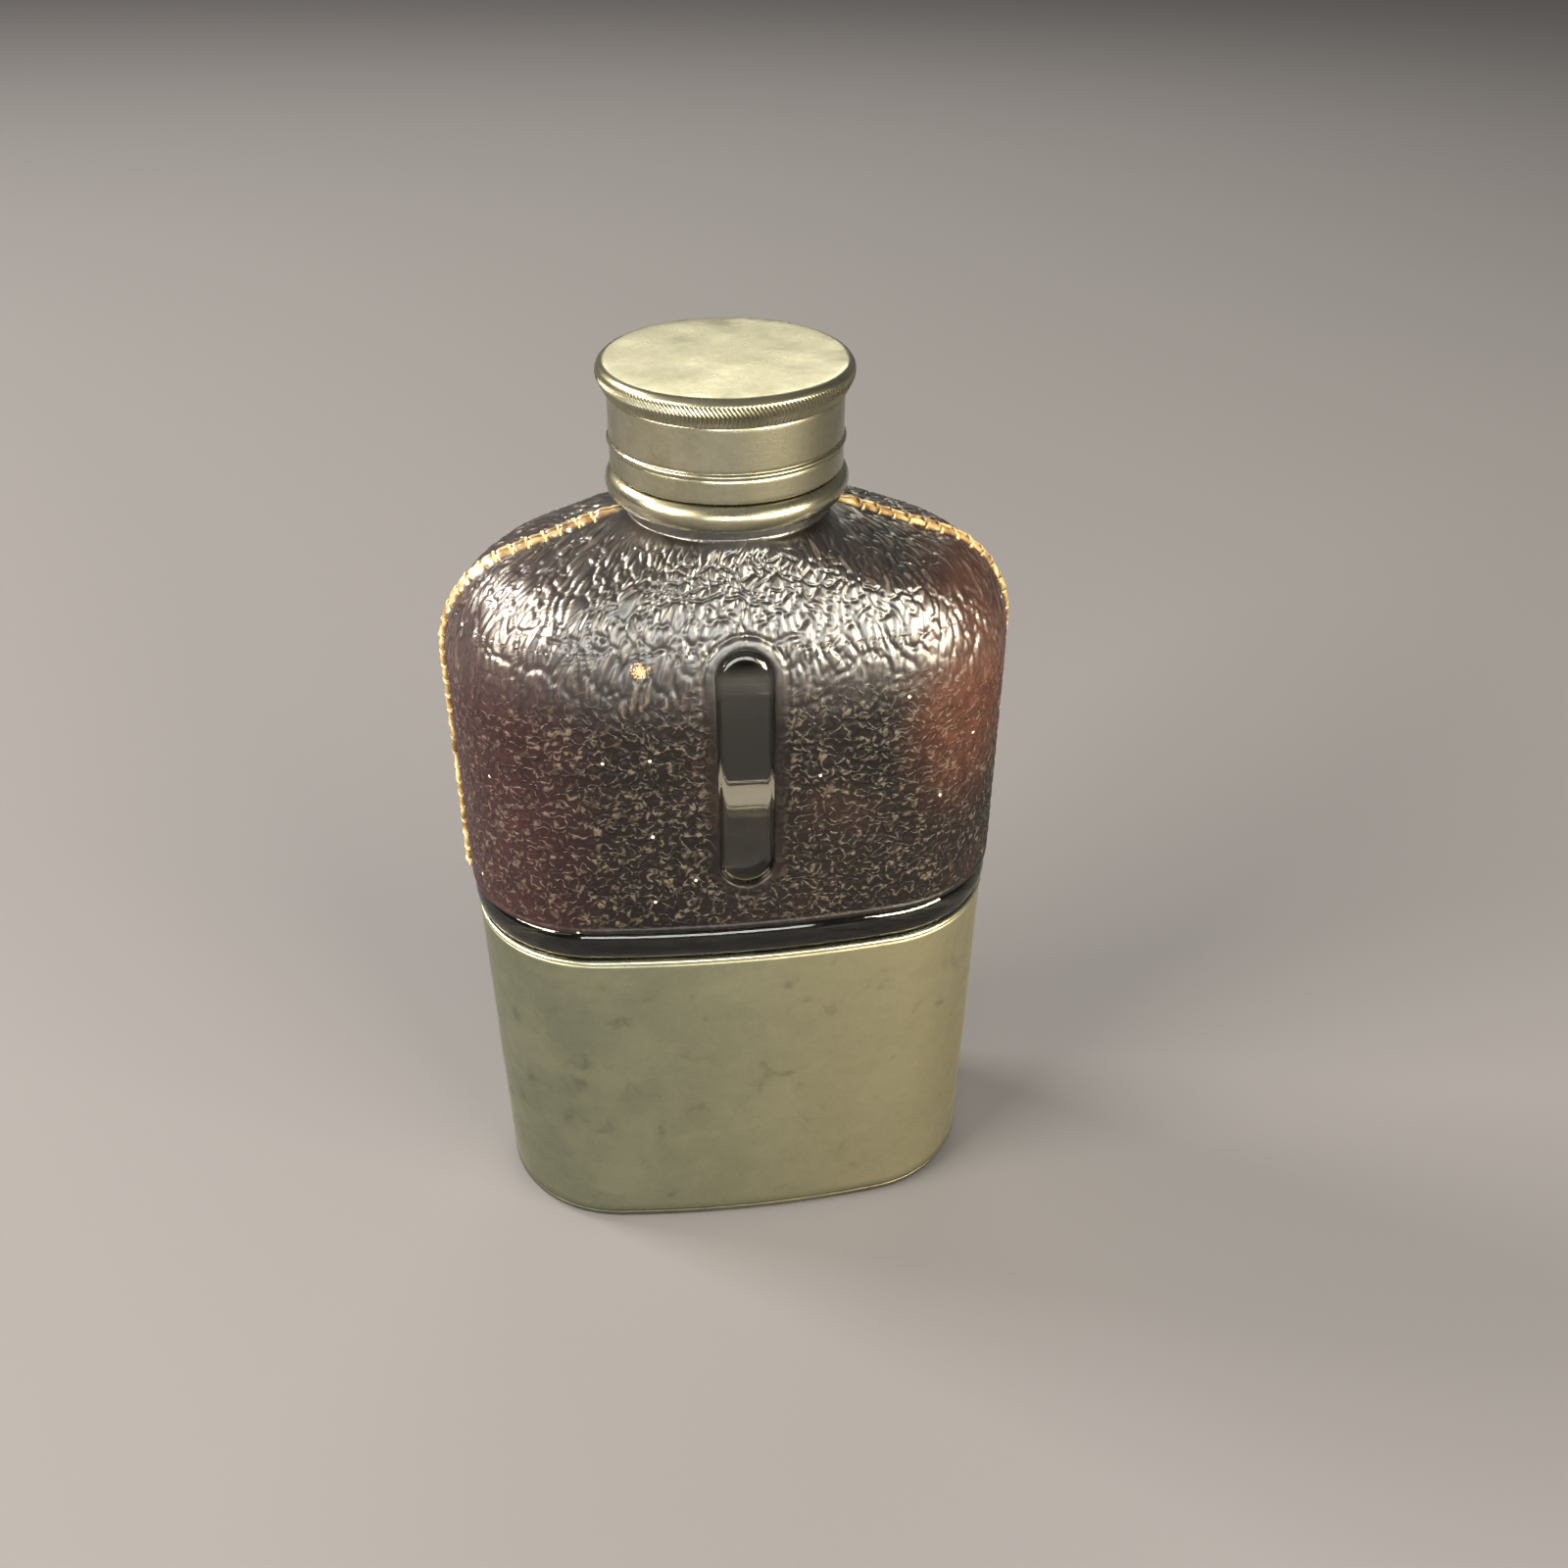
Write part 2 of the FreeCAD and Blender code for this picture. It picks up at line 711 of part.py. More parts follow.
def make_cork():
    cork = turned(
        "cork_disc",
        [
            ("0", "cork_bottom_z"),
            ("cork_radius", "cork_bottom_z"),
            ("cork_radius", "cork_top_z"),
            ("0", "cork_top_z"),
        ],
    )
    sub_part(cork, "cork_disc")
    backing = turned(
        "cork_backing",
        [
            ("0", "cork_top_z"),
            ("cork_radius", "cork_top_z"),
            ("cork_radius", "backing_top_z"),
            ("rivet_radius", "backing_top_z"),
            ("rivet_radius", "rivet_head_bottom_z"),
            ("rivet_head_radius", "rivet_head_bottom_z"),
            ("rivet_head_radius", "rivet_head_top_z"),
            ("0", "rivet_head_top_z"),
        ],
    )
    sub_part(backing, "cork_backing")


# ---------------------------------------------------------------- drinking cup


def cup_oval(height, inset):
    """The cup's tapered section at a height, inset from its outside."""
    share = f"( ( {height} ) - cup_wall_bottom_z ) / ( cup_wall_top_z - cup_wall_bottom_z )"
    widening = f"( cup_rim_half_width - cup_base_half_width ) * {share}"
    deepening = f"( cup_rim_half_depth - cup_base_half_depth ) * {share}"
    half_width = f"cup_base_half_width + {widening} - {inset}"
    half_depth = f"cup_base_half_depth + {deepening} - {inset}"
    return half_width, half_depth, height


def make_cup():
    low, high = "cup_wall_bottom_z", "cup_wall_top_z"
    outside = tapered_solid("cup_outside", cup_oval(low, "0"), cup_oval(high, "0"))
    inside = tapered_solid(
        "cup_inside", cup_oval(low, "cup_wall_thickness"), cup_oval(high, "cup_wall_thickness")
    )
    sub_part(combined("Part::Cut", "cup_wall", outside, inside), "cup_wall")

    rim = "cup_rim_top_z"
    proud = "-1 * cup_rim_proud"
    rim_block = tapered_solid("rim_outside", cup_oval(high, proud), cup_oval(rim, proud))
    rim_hole = tapered_solid(
        "rim_inside", cup_oval(high, "cup_wall_thickness"), cup_oval(rim, "cup_wall_thickness")
    )
    sub_part(combined("Part::Cut", "cup_rim", rim_block, rim_hole), "cup_rim")

    pan = tapered_solid("pan_outside", cup_oval("0", "0"), cup_oval(low, "0"))
    pan_round = rounded("pan_round", pan, "cup_base_round", flat_at("0"))
    lip_top = "cup_lip_top_z"
    lip = tapered_solid(
        "lip_outside", cup_oval(low, "cup_wall_thickness"), cup_oval(lip_top, "cup_wall_thickness")
    )
    lip_inset = "( cup_wall_thickness + cup_lip )"
    dish = tapered_solid("pan_inside", cup_oval("cup_floor", lip_inset), cup_oval(lip_top, lip_inset))
    pan_whole = combined("Part::MultiFuse", "pan_whole", pan_round, lip)
    sub_part(combined("Part::Cut", "cup_base", pan_whole, dish), "cup_base")


make_glass()
make_leather("leather_front", -1)
make_leather("leather_back", 1)
make_thread("seam_thread_right", 1)
make_thread("seam_thread_left", -1)
make_collar()
make_cap()
make_cork()
make_cup()
doc.recompute()

faults = []
for feature in doc.Objects:
    if "Invalid" in feature.State or "Error" in feature.State:
        faults.append(f"{feature.Name}: {feature.State} {feature.getStatusString()}")
for feature in SUB_PARTS:
    if feature.Shape.isNull() or not feature.Shape.isValid() or not feature.Shape.Solids:
        faults.append(f"{feature.Label}: bad shape")
if faults:
    raise RuntimeError("; ".join(faults))

os.makedirs("parts", exist_ok=True)
for feature in SUB_PARTS:
    feature.Shape.exportStep(f"parts/{feature.Label}.step")
    box = feature.Shape.BoundBox
    print(f"{feature.Label}: {len(feature.Shape.Solids)} solids, {feature.Shape.Volume:.1f} mm3")
    print(f"   x {box.XMin:.2f} {box.XMax:.2f}")
    print(f"   y {box.YMin:.2f} {box.YMax:.2f}")
    print(f"   z {box.ZMin:.2f} {box.ZMax:.2f}")
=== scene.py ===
# A glass hip flask: leather over its shoulders, a screw cap with a cork in it and a metal
# cup pushed over its foot. Every piece is put on here in the order the flask is made.
import math

import bpy
import numpy as np
from mathutils import Matrix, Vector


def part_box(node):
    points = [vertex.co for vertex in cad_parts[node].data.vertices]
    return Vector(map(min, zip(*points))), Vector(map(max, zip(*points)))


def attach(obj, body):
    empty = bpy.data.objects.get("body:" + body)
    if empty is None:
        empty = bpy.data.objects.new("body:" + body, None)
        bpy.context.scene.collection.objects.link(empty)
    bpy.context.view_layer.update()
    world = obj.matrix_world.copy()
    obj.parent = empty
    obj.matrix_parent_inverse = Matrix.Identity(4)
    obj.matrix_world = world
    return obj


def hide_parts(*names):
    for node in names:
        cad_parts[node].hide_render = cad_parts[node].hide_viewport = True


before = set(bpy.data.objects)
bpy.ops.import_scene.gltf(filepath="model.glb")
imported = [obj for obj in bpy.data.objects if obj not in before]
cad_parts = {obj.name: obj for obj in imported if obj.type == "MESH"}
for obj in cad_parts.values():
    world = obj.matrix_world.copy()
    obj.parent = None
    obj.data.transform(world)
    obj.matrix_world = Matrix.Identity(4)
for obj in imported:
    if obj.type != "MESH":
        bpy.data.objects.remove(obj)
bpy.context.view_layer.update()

# ------------------------------------------------------------------ glass bottle
# The bottle is clear glass blown in a two-part mould, thick in the wall, with a rib that
# shows between leather and cup, and a raised pad that stands in the leather's sight slot.

MM = 0.001
SEAM_HEIGHT = 0.75
LEATHER_LOW, LEATHER_HIGH = (np.array(corner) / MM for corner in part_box("leather_front"))
BODY_HALF_WIDTH = LEATHER_HIGH[0] - SEAM_HEIGHT
BODY_HALF_DEPTH = -LEATHER_LOW[1]
SHOULDER_Z = 92.4
SHOULDER_RADIUS = 14.3
SHOULDER_SLOPE = math.radians(20)
SIDE_CURVE_Z = 86.0
SIDE_CURVE_RADIUS = 49.5
FLAT_ANGLE = math.radians(7)
UPSTAND_RADIUS = 12.85


def body_oval(z, inset):
    """Half width and half depth of the shouldered body at height z, inset inside the
    leather's face. The width is upright, then an arc, then a straight slope to the neck;
    the depth is upright, then one long arc. Above the slope the hide stands up in a
    short collar round the neck."""
    arc = SHOULDER_RADIUS - inset
    centre = BODY_HALF_WIDTH - SHOULDER_RADIUS
    arc_end_x = centre + arc * math.sin(SHOULDER_SLOPE)
    arc_end_z = SHOULDER_Z + arc * math.cos(SHOULDER_SLOPE)
    on_arc = centre + np.sqrt(np.clip(arc**2 - (z - SHOULDER_Z) ** 2, 0, None))
    on_slope = arc_end_x - (z - arc_end_z) / math.tan(SHOULDER_SLOPE)
    turned = np.where(z < arc_end_z, on_arc, on_slope)
    half_width = np.where(z < SHOULDER_Z, BODY_HALF_WIDTH - inset, turned)
    rise = np.clip(z - SIDE_CURVE_Z, 0, None)
    side_arc = np.sqrt((SIDE_CURVE_RADIUS - inset) ** 2 - rise**2)
    half_depth = BODY_HALF_DEPTH - SIDE_CURVE_RADIUS + side_arc
    upstand = UPSTAND_RADIUS - inset
    return np.maximum(half_width, upstand), np.maximum(half_depth, upstand)


def oval_arcs(half_width, half_depth):
    """End radius, flat radius and end centre of the oval, which is four tangent arcs that
    meet where their normal is the flat angle off the depth axis."""
    spread = math.sin(FLAT_ANGLE) + math.cos(FLAT_ANGLE) - 1
    reach = (half_width - half_depth) / spread
    end_centre = math.sin(FLAT_ANGLE) * reach
    return half_width - end_centre, half_depth + math.cos(FLAT_ANGLE) * reach, end_centre


def quarter_length(half_width, half_depth):
    """Length of a quarter of the oval: each arc's radius times its turn."""
    end_radius, flat_radius, _ = oval_arcs(half_width, half_depth)
    return end_radius * (math.pi / 2 - FLAT_ANGLE) + flat_radius * FLAT_ANGLE


def quarter_point(half_width, half_depth, walk):
    """The point reached by walking along a quarter oval from its end on the width axis,
    and its normal's angle, which is the walk over the radius: arc centre plus radius
    times the angle's cosine and sine."""
    end_radius, flat_radius, end_centre = oval_arcs(half_width, half_depth)
    join = math.pi / 2 - FLAT_ANGLE
    at_end = walk < end_radius * join
    angle = np.where(at_end, walk / end_radius, join + (walk - end_radius * join) / flat_radius)
    across = np.where(at_end, end_centre + end_radius * np.cos(angle), flat_radius * np.cos(angle))
    end_out = end_radius * np.sin(angle)
    flat_out = half_depth - flat_radius + flat_radius * np.sin(angle)
    return across, np.where(at_end, end_out, flat_out), angle


def ring(half_width, half_depth, shares):
    """Whole ovals, one row each, at shares 0 to 4 of a quarter, anticlockwise from +X."""
    half_width, half_depth = np.asarray(half_width)[:, None], np.asarray(half_depth)[:, None]
    quarter = np.floor(shares).astype(int) % 4
    part = shares - np.floor(shares)
    walk = np.where(quarter % 2 == 0, part, 1 - part) * quarter_length(half_width, half_depth)
    across, out, _ = quarter_point(half_width, half_depth, walk)
    return across * np.where(quarter % 3 == 0, 1, -1), out * np.where(quarter < 2, 1, -1)


def dome(share):
    """A quarter circle's height: 0 at 0, rising steeply, and 1 from 1 on."""
    return np.sqrt(1 - (1 - np.clip(share, 0, 1)) ** 2)


def skin(name, points, wrap_rows=False, wrap_columns=True, keep=None, **attributes):
    """A mesh over a grid of points in millimetres, rows by columns, one face a cell. Equal
    points are joined, so a row that is all one point closes as a pole of triangles."""
    rows, columns = points.shape[:2]
    flat = points.reshape(-1, 3)
    steps = np.round(flat / 1e-4).astype(np.int64)
    _, first, joined = np.unique(steps, axis=0, return_index=True, return_inverse=True)
    grid = joined.reshape(rows, columns)
    row = np.arange(rows if wrap_rows else rows - 1)[:, None]
    column = np.arange(columns if wrap_columns else columns - 1)[None, :]
    up, along = (row + 1) % rows, (column + 1) % columns
    corners = [grid[row, column], grid[row, along], grid[up, along], grid[up, column]]
    cells = np.stack(corners, -1)
    cells = cells.reshape(-1, 4) if keep is None else cells[keep]
    same = cells == np.roll(cells, -1, axis=1)
    quads = cells[~same.any(1)]
    thin = [cells[same[:, corner] & (same.sum(1) == 1)] for corner in range(4)]
    triangles = np.concatenate([np.delete(part, corner, 1) for corner, part in enumerate(thin)])
    used, renumbered = np.unique(
        np.concatenate([quads.reshape(-1), triangles.reshape(-1)]), return_inverse=True
    )
    quads = renumbered[: quads.size].reshape(-1, 4)
    triangles = renumbered[quads.size :].reshape(-1, 3)
    mesh = bpy.data.meshes.new(name)
    mesh.from_pydata(flat[first[used]] * MM, [], quads.tolist() + triangles.tolist())
    for label, values in attributes.items():
        has_parts = values.ndim == 3
        kind, field, width = ("FLOAT_VECTOR", "vector", 3) if has_parts else ("FLOAT", "value", 1)
        layer = mesh.attributes.new(label, kind, "POINT")
        per_point = values.reshape(-1, width)[first[used]].astype(np.float32)
        layer.data.foreach_set(field, per_point.reshape(-1))
    mesh.shade_smooth()
    piece = bpy.data.objects.new(name, mesh)
    bpy.context.scene.collection.objects.link(piece)
    return piece


def linear(sheet):
    """A hex colour as linear red, green, blue and alpha: each part over 12.92 where it is
    dark, else ((part + 0.055) / 1.055) to the power 2.4."""
    parts = [int(sheet[start : start + 2], 16) / 255 for start in (1, 3, 5)]
    return [p / 12.92 if p <= 0.04045 else ((p + 0.055) / 1.055) ** 2.4 for p in parts] + [1.0]


def add(tree, kind, sockets=None, stops=(), **settings):
    """A new node with its settings; each socket is set to a value or linked from another
    node's output. Stops are a colour ramp's positions and hex colours."""
    node = tree.nodes.new("ShaderNode" + kind)
    for key, value in settings.items():
        setattr(node, key, value)
    for key, value in (sockets or {}).items():
        if isinstance(value, bpy.types.NodeSocket):
            tree.links.new(value, node.inputs[key])
        else:
            node.inputs[key].default_value = value
    if stops:
        elements = node.color_ramp.elements
        while len(elements) < len(stops):
            elements.new(0.5)
        for element, (position, sheet) in zip(elements, stops):
            element.position, element.color = position, linear(sheet)
    return node


def finish_of(name, **sockets):
    """A new material with its Principled shader set, its tree, and Object coordinates."""
    material = bpy.data.materials.new(name)
    material.use_nodes = True
    tree = material.node_tree
    tree.nodes.clear()
    shader = add(tree, "BsdfPrincipled", {key.replace("_", " "): v for key, v in sockets.items()})
    output = add(tree, "OutputMaterial")
    tree.links.new(shader.outputs[0], output.inputs[0])
    place = add(tree, "TexCoord").outputs["Object"]
    return material, tree, shader, place


GLUE_LINE = 0.1
LEATHER_THICKNESS = 1.2
GLASS_INSET = LEATHER_THICKNESS + GLUE_LINE
GLASS_WALL = 2.6
SLOT_HALF_WIDTH = 3.65
SLOT_LOW_Z, SLOT_HIGH_Z = 64.8, 99.5
PAD_MARGIN, PAD_SINK, PAD_EDGE = 0.2, 0.5, 1.0
NECK_RING_RADIUS, NECK_RING_TOP = 12.2, 113.0
NECK_RADIUS, NECK_BORE = 10.2, 7.8
CUP_LINING = 0.9
FOOT_RADIUS, INNER_FOOT_RADIUS, FLOOR_THICKNESS = 5.0, 4.0, 3.6
RIB_LOW_Z, RIB_HIGH_Z = 52.55, 57.3
RIB_HALF_WIDTH, RIB_HALF_DEPTH, RIB_ROUND = 37.3, 19.8, 1.15
MOUTH_ROUND = 0.8
INNER_SHOULDER_Z, INNER_TAPER_Z = 106.6, 52.0

glass_low, glass_high = (np.array(corner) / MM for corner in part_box("glass_bottle"))
cup_low, cup_high = (np.array(corner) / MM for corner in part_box("cup_wall"))
rim_low, rim_high = (np.array(corner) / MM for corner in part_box("cup_rim"))


def slot_distance(across, z):
    """Distance outside the sight slot's outline, which is a straight-sided slot with
    half-circle ends; negative inside it."""
    middle = (SLOT_LOW_Z + SLOT_HIGH_Z) / 2
    straight = (SLOT_HIGH_Z - SLOT_LOW_Z) / 2 - SLOT_HALF_WIDTH
    beyond = np.clip(np.abs(z - middle) - straight, 0, None)
    return np.hypot(across, beyond) - SLOT_HALF_WIDTH


CUP_BASE_HALF = np.array([36.2, 19.25])
CUP_RIM_HALF = np.array([37.0, 19.5])


def cup_oval(z, inset):
    """Half width and half depth of the tapered cup's outside at height z, less inset."""
    share = (z - cup_low[2]) / (cup_high[2] - cup_low[2])
    halves = CUP_BASE_HALF[:, None] + (CUP_RIM_HALF - CUP_BASE_HALF)[:, None] * share
    return halves[0] - inset, halves[1] - inset


def glass_outside():
    """Half widths, half depths and heights up the bottle's outside: rounded foot, taper
    inside the cup, rib, shoulders inside the leather, neck ring, neck and mouth."""
    bottom = glass_low[2]
    turn = np.linspace(0, math.pi / 2, 14)
    foot_z = bottom + FOOT_RADIUS * (1 - np.cos(turn))
    foot_w, foot_d = cup_oval(foot_z, CUP_LINING + FOOT_RADIUS * (1 - np.sin(turn)))
    taper_z = np.linspace(bottom + FOOT_RADIUS, rim_high[2] + 0.1, 30)[1:]
    taper_w, taper_d = cup_oval(taper_z, CUP_LINING)
    rib_turn = np.linspace(-math.pi / 2, math.pi / 2, 30)
    rib_z = (RIB_HIGH_Z + RIB_LOW_Z) / 2 + (RIB_HIGH_Z - RIB_LOW_Z) / 2 * np.sin(rib_turn)
    rib_share = (rib_z - RIB_LOW_Z) / (RIB_HIGH_Z - RIB_LOW_Z) * 2 - 1
    rib_in = RIB_ROUND * (1 - np.sqrt(np.clip(1 - rib_share**2, 0, 1)))
    low_body = np.arange(RIB_HIGH_Z + 0.05, SLOT_LOW_Z - 1, 0.8)
    slot_turn = np.linspace(0, math.pi / 2, 12)
    low_slot = SLOT_LOW_Z + SLOT_HALF_WIDTH * (1 - np.cos(slot_turn))
    high_slot = SLOT_HIGH_Z - SLOT_HALF_WIDTH * (1 - np.sin(slot_turn))
    middle_slot = np.arange(low_slot[-1] + 0.5, high_slot[0] - 0.2, 0.5)
    high_body = np.arange(SLOT_HIGH_Z + 0.4, 109.6, 0.3)
    body_z = np.concatenate(
        [low_body, [SLOT_LOW_Z - 0.4], low_slot, middle_slot, high_slot, high_body]
    )
    body_w, body_d = body_oval(body_z, GLASS_INSET)
    neck = np.array(
        [
            (NECK_RING_RADIUS + 0.1, 110.0),
            (NECK_RING_RADIUS, 110.6),
            (NECK_RING_RADIUS, NECK_RING_TOP - 0.3),
            (NECK_RING_RADIUS - 0.3, NECK_RING_TOP),
            (NECK_RADIUS + 0.2, NECK_RING_TOP),
            (NECK_RADIUS, NECK_RING_TOP + 0.3),
            (NECK_RADIUS, glass_high[2] - MOUTH_ROUND),
            (NECK_RADIUS - MOUTH_ROUND * 0.3, glass_high[2] - MOUTH_ROUND * 0.3),
            (NECK_RADIUS - MOUTH_ROUND, glass_high[2]),
        ]
    )
    width = np.concatenate([foot_w, taper_w, RIB_HALF_WIDTH - rib_in, body_w, neck[:, 0]])
    depth = np.concatenate([foot_d, taper_d, RIB_HALF_DEPTH - rib_in, body_d, neck[:, 0]])
    return width, depth, np.concatenate([foot_z, taper_z, rib_z, body_z, neck[:, 1]])


def glass_inside():
    """The same for the hollow, from the mouth down to the floor, a wall thickness in."""
    top = glass_high[2]
    mouth = np.array([(NECK_BORE + 0.6, top), (NECK_BORE + 0.15, top - 0.3)])
    bore_z = np.array([top - 0.9, 116.0, 108.5])
    bore = np.full(len(bore_z), NECK_BORE)
    side_z = np.arange(SIDE_CURVE_Z, 59, -2.5)
    shoulder_z = np.concatenate([np.arange(INNER_SHOULDER_Z, SIDE_CURVE_Z, -0.5), side_z])
    shoulder_w, shoulder_d = body_oval(shoulder_z, GLASS_INSET + GLASS_WALL)
    taper_z = np.arange(INNER_TAPER_Z, 12.0, -4.0)
    taper_w, taper_d = cup_oval(taper_z, CUP_LINING + GLASS_WALL)
    turn = np.linspace(0, math.pi / 2, 8)
    foot_z = glass_low[2] + FLOOR_THICKNESS + INNER_FOOT_RADIUS * (1 - np.sin(turn))
    foot_in = INNER_FOOT_RADIUS * (1 - np.cos(turn))
    foot_w, foot_d = cup_oval(foot_z, CUP_LINING + GLASS_WALL + foot_in)
    width = np.concatenate([mouth[:, 0], bore, shoulder_w, taper_w, foot_w])
    depth = np.concatenate([mouth[:, 0], bore, shoulder_d, taper_d, foot_d])
    return width, depth, np.concatenate([mouth[:, 1], bore_z, shoulder_z, taper_z, foot_z])


outside, inside = glass_outside(), glass_inside()
widths, depths, heights = (np.concatenate(pair) for pair in zip(outside, inside))
# columns lie close together in front, where the pad's edge turns
even = np.linspace(-1, 1, 121)
front = 1 + np.sign(even) * np.abs(even) ** 2.2
shares = np.concatenate([np.linspace(0, 2, 80, endpoint=False), 2 + front[:-1]])
glass_x, glass_y = ring(widths, depths, shares)
glass_z = np.repeat(heights[:, None], len(shares), 1)
pad_inside = -slot_distance(glass_x, glass_z) - PAD_MARGIN
pad_rise = (GLASS_INSET - PAD_SINK) * dome(pad_inside / PAD_EDGE)
on_front = (glass_y < 0) & (np.arange(len(heights)) < len(outside[0]))[:, None]
glass_y = glass_y - np.where(on_front & (pad_inside > 0), pad_rise, 0)
glass_points = np.stack([glass_x, glass_y, glass_z], -1)
foot_pole = np.broadcast_to([0, 0, glass_z[0, 0]], (1, len(shares), 3))
floor_pole = np.broadcast_to([0, 0, glass_z[-1, 0]], (1, len(shares), 3))
glass = skin("glass_bottle_clear", np.concatenate([foot_pole, glass_points, floor_pole]))
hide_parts("glass_bottle")
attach(glass, "flask")

# Soda glass blown in an iron mould: clear, with the faint warm tint of old glass.
clear_glass, _, shader, _ = finish_of(
    "moulded_soda_glass", Base_Color=linear("#f1ede0"), Roughness=0.03, IOR=1.52
)
shader.inputs["Transmission Weight"].default_value = 1.0
glass.data.materials.append(clear_glass)

# ------------------------------------------------------------------ leather cover
# Two panels of dark calf hide, 1.2 mm thick, were shaped wet over the shoulders and glued
# on. The front one has the sight slot. Their edges turn out along both sides as a seam.

SEAM_HALF_WIDTH = 1.3
SEAM_TOP_X = 14.6
STITCH_PITCH = 2.25
GRAIN_STEP = 0.29
BOTTOM_Z = LEATHER_LOW[2]
ARC_END_X = BODY_HALF_WIDTH - SHOULDER_RADIUS * (1 - math.sin(SHOULDER_SLOPE))
ARC_END_Z = SHOULDER_Z + SHOULDER_RADIUS * math.cos(SHOULDER_SLOPE)
LEATHER_TOP_Z = NECK_RING_TOP - 0.3
NOISE_SIDE = 256


def smooth(low, high, value):
    """0 below low, 1 above high, and the cubic 3t squared less 2t cubed between them."""
    share = np.clip((value - low) / (high - low), 0, 1)
    return share * share * (3 - 2 * share)


def cells(along, up, seed):
    """Distances to the nearest and second nearest of scattered points, one point in each
    unit square, jittered by a seeded table."""
    jitter = np.random.default_rng(seed).random((NOISE_SIDE, NOISE_SIDE, 2))
    column, row = np.floor(along).astype(int), np.floor(up).astype(int)
    near = np.full(along.shape, 9.0)
    second = near.copy()
    for shift_row in (-1, 0, 1):
        for shift_column in (-1, 0, 1):
            c, r = column + shift_column, row + shift_row
            point = jitter[r % NOISE_SIDE, c % NOISE_SIDE]
            apart = np.hypot(c + point[..., 0] - along, r + point[..., 1] - up)
            second = np.minimum(second, np.maximum(near, apart))
            near = np.minimum(near, apart)
    return near, second


def clouds(along, up, seed):
    """Smooth noise from 0 to 1: a seeded table's values, blended between unit corners."""
    table = np.random.default_rng(seed).random((NOISE_SIDE, NOISE_SIDE))
    column, row = np.floor(along).astype(int), np.floor(up).astype(int)
    across, rise = smooth(0, 1, along - column), smooth(0, 1, up - row)
    c, r = column % NOISE_SIDE, row % NOISE_SIDE
    next_c, next_r = (c + 1) % NOISE_SIDE, (r + 1) % NOISE_SIDE
    low = table[r, c] * (1 - across) + table[r, next_c] * across
    high = table[next_r, c] * (1 - across) + table[next_r, next_c] * across
    return low * (1 - rise) + high * rise


def grooves(along, up, width, seed):
    """-1 along the borders between the cells of scattered points and 0 away from them: a
    Gaussian of how much farther the second nearest is than the nearest, over a width."""
    near, second = cells(along, up, seed)
    return -np.exp(-(((second - near) / width) ** 2))


def outline_length(z):
    """Distance up the front view's outline from the leather's lower edge to height z."""
    upright = np.clip(z, None, SHOULDER_Z) - BOTTOM_Z
    turned = np.clip((z - SHOULDER_Z) / SHOULDER_RADIUS, 0, math.cos(SHOULDER_SLOPE))
    sloped = np.clip(z - ARC_END_Z, 0, None) / math.sin(SHOULDER_SLOPE)
    return upright + SHOULDER_RADIUS * np.arcsin(turned) + sloped


def outline_height(length):
    """Height z for a distance up the outline, read off the function above."""
    table = np.linspace(BOTTOM_Z, LEATHER_TOP_Z, 4000)
    return np.interp(length, outline_length(table), table)


def leather_rows(slotted):
    """Heights of the grid's rows, evenly spaced up the outline; where there is a slot its
    half-circle ends have rows evenly spaced round them."""
    top = outline_length(LEATHER_TOP_Z)
    rows = outline_height(np.linspace(0, top, int(top / GRAIN_STEP)))
    if not slotted:
        return rows
    turn = np.linspace(0, math.pi / 2, 20)
    low = SLOT_LOW_Z + SLOT_HALF_WIDTH * (1 - np.cos(turn))
    high = SLOT_HIGH_Z - SLOT_HALF_WIDTH * (1 - np.sin(turn))
    ends = (rows > SLOT_LOW_Z - 0.1) & (rows < low[-1] + 0.1)
    ends |= (rows > high[0] - 0.1) & (rows < SLOT_HIGH_Z + 0.1)
    return np.sort(np.concatenate([rows[~ends], low, high]))


# the hide's pattern: sizes across and up, and depths, in mm
PEBBLE, FOLD, CREASE, LONG_CREASE = (1.15, 1.2), (2.3, 2.3), (1.25, 4.4), (2.1, 7.5)
PEBBLE_DEPTH, FOLD_DEPTH, CREASE_DEPTH, LONG_CREASE_DEPTH = 0.11, 0.11, 0.19, 0.15


def hide_relief(across, length, z, seed):
    """How far the hide's face stands out, in mm. Low down it is rounded pebbles with
    grooves between them; over the shoulders, long creases that run up to the neck. Noise
    bends them, and the two meet along a ragged line."""
    drift = clouds(across / 3.1, length / 3.1, seed) - 0.5
    lean = clouds(across / 2.3, length / 4.2, seed + 1) - 0.5
    bent = across + drift
    pebbles = grooves(bent / PEBBLE[0], (length + drift) / PEBBLE[1], 0.22, seed + 2)
    folds = grooves(bent / FOLD[0], (length - drift) / FOLD[1], 0.13, seed + 3)
    low_relief = PEBBLE_DEPTH * pebbles + FOLD_DEPTH * folds
    low_relief = low_relief + 0.05 * clouds(across / 0.8, length / 0.8, seed)
    leaning = across + 1.8 * lean
    creases = grooves(leaning / CREASE[0], length / CREASE[1] + 0.5 * lean, 0.17, seed + 4)
    leaning = across + 2.6 * lean
    long_up = length / LONG_CREASE[1] + lean
    long_creases = grooves(leaning / LONG_CREASE[0], long_up, 0.11, seed + 5)
    high_relief = CREASE_DEPTH * creases + LONG_CREASE_DEPTH * long_creases + 0.1 * drift
    ragged = z + 6 * (clouds(across / 5, length / 5, seed + 6) - 0.5)
    shoulder = smooth(89, 98, ragged)
    return low_relief * (1 - shoulder) + high_relief * shoulder


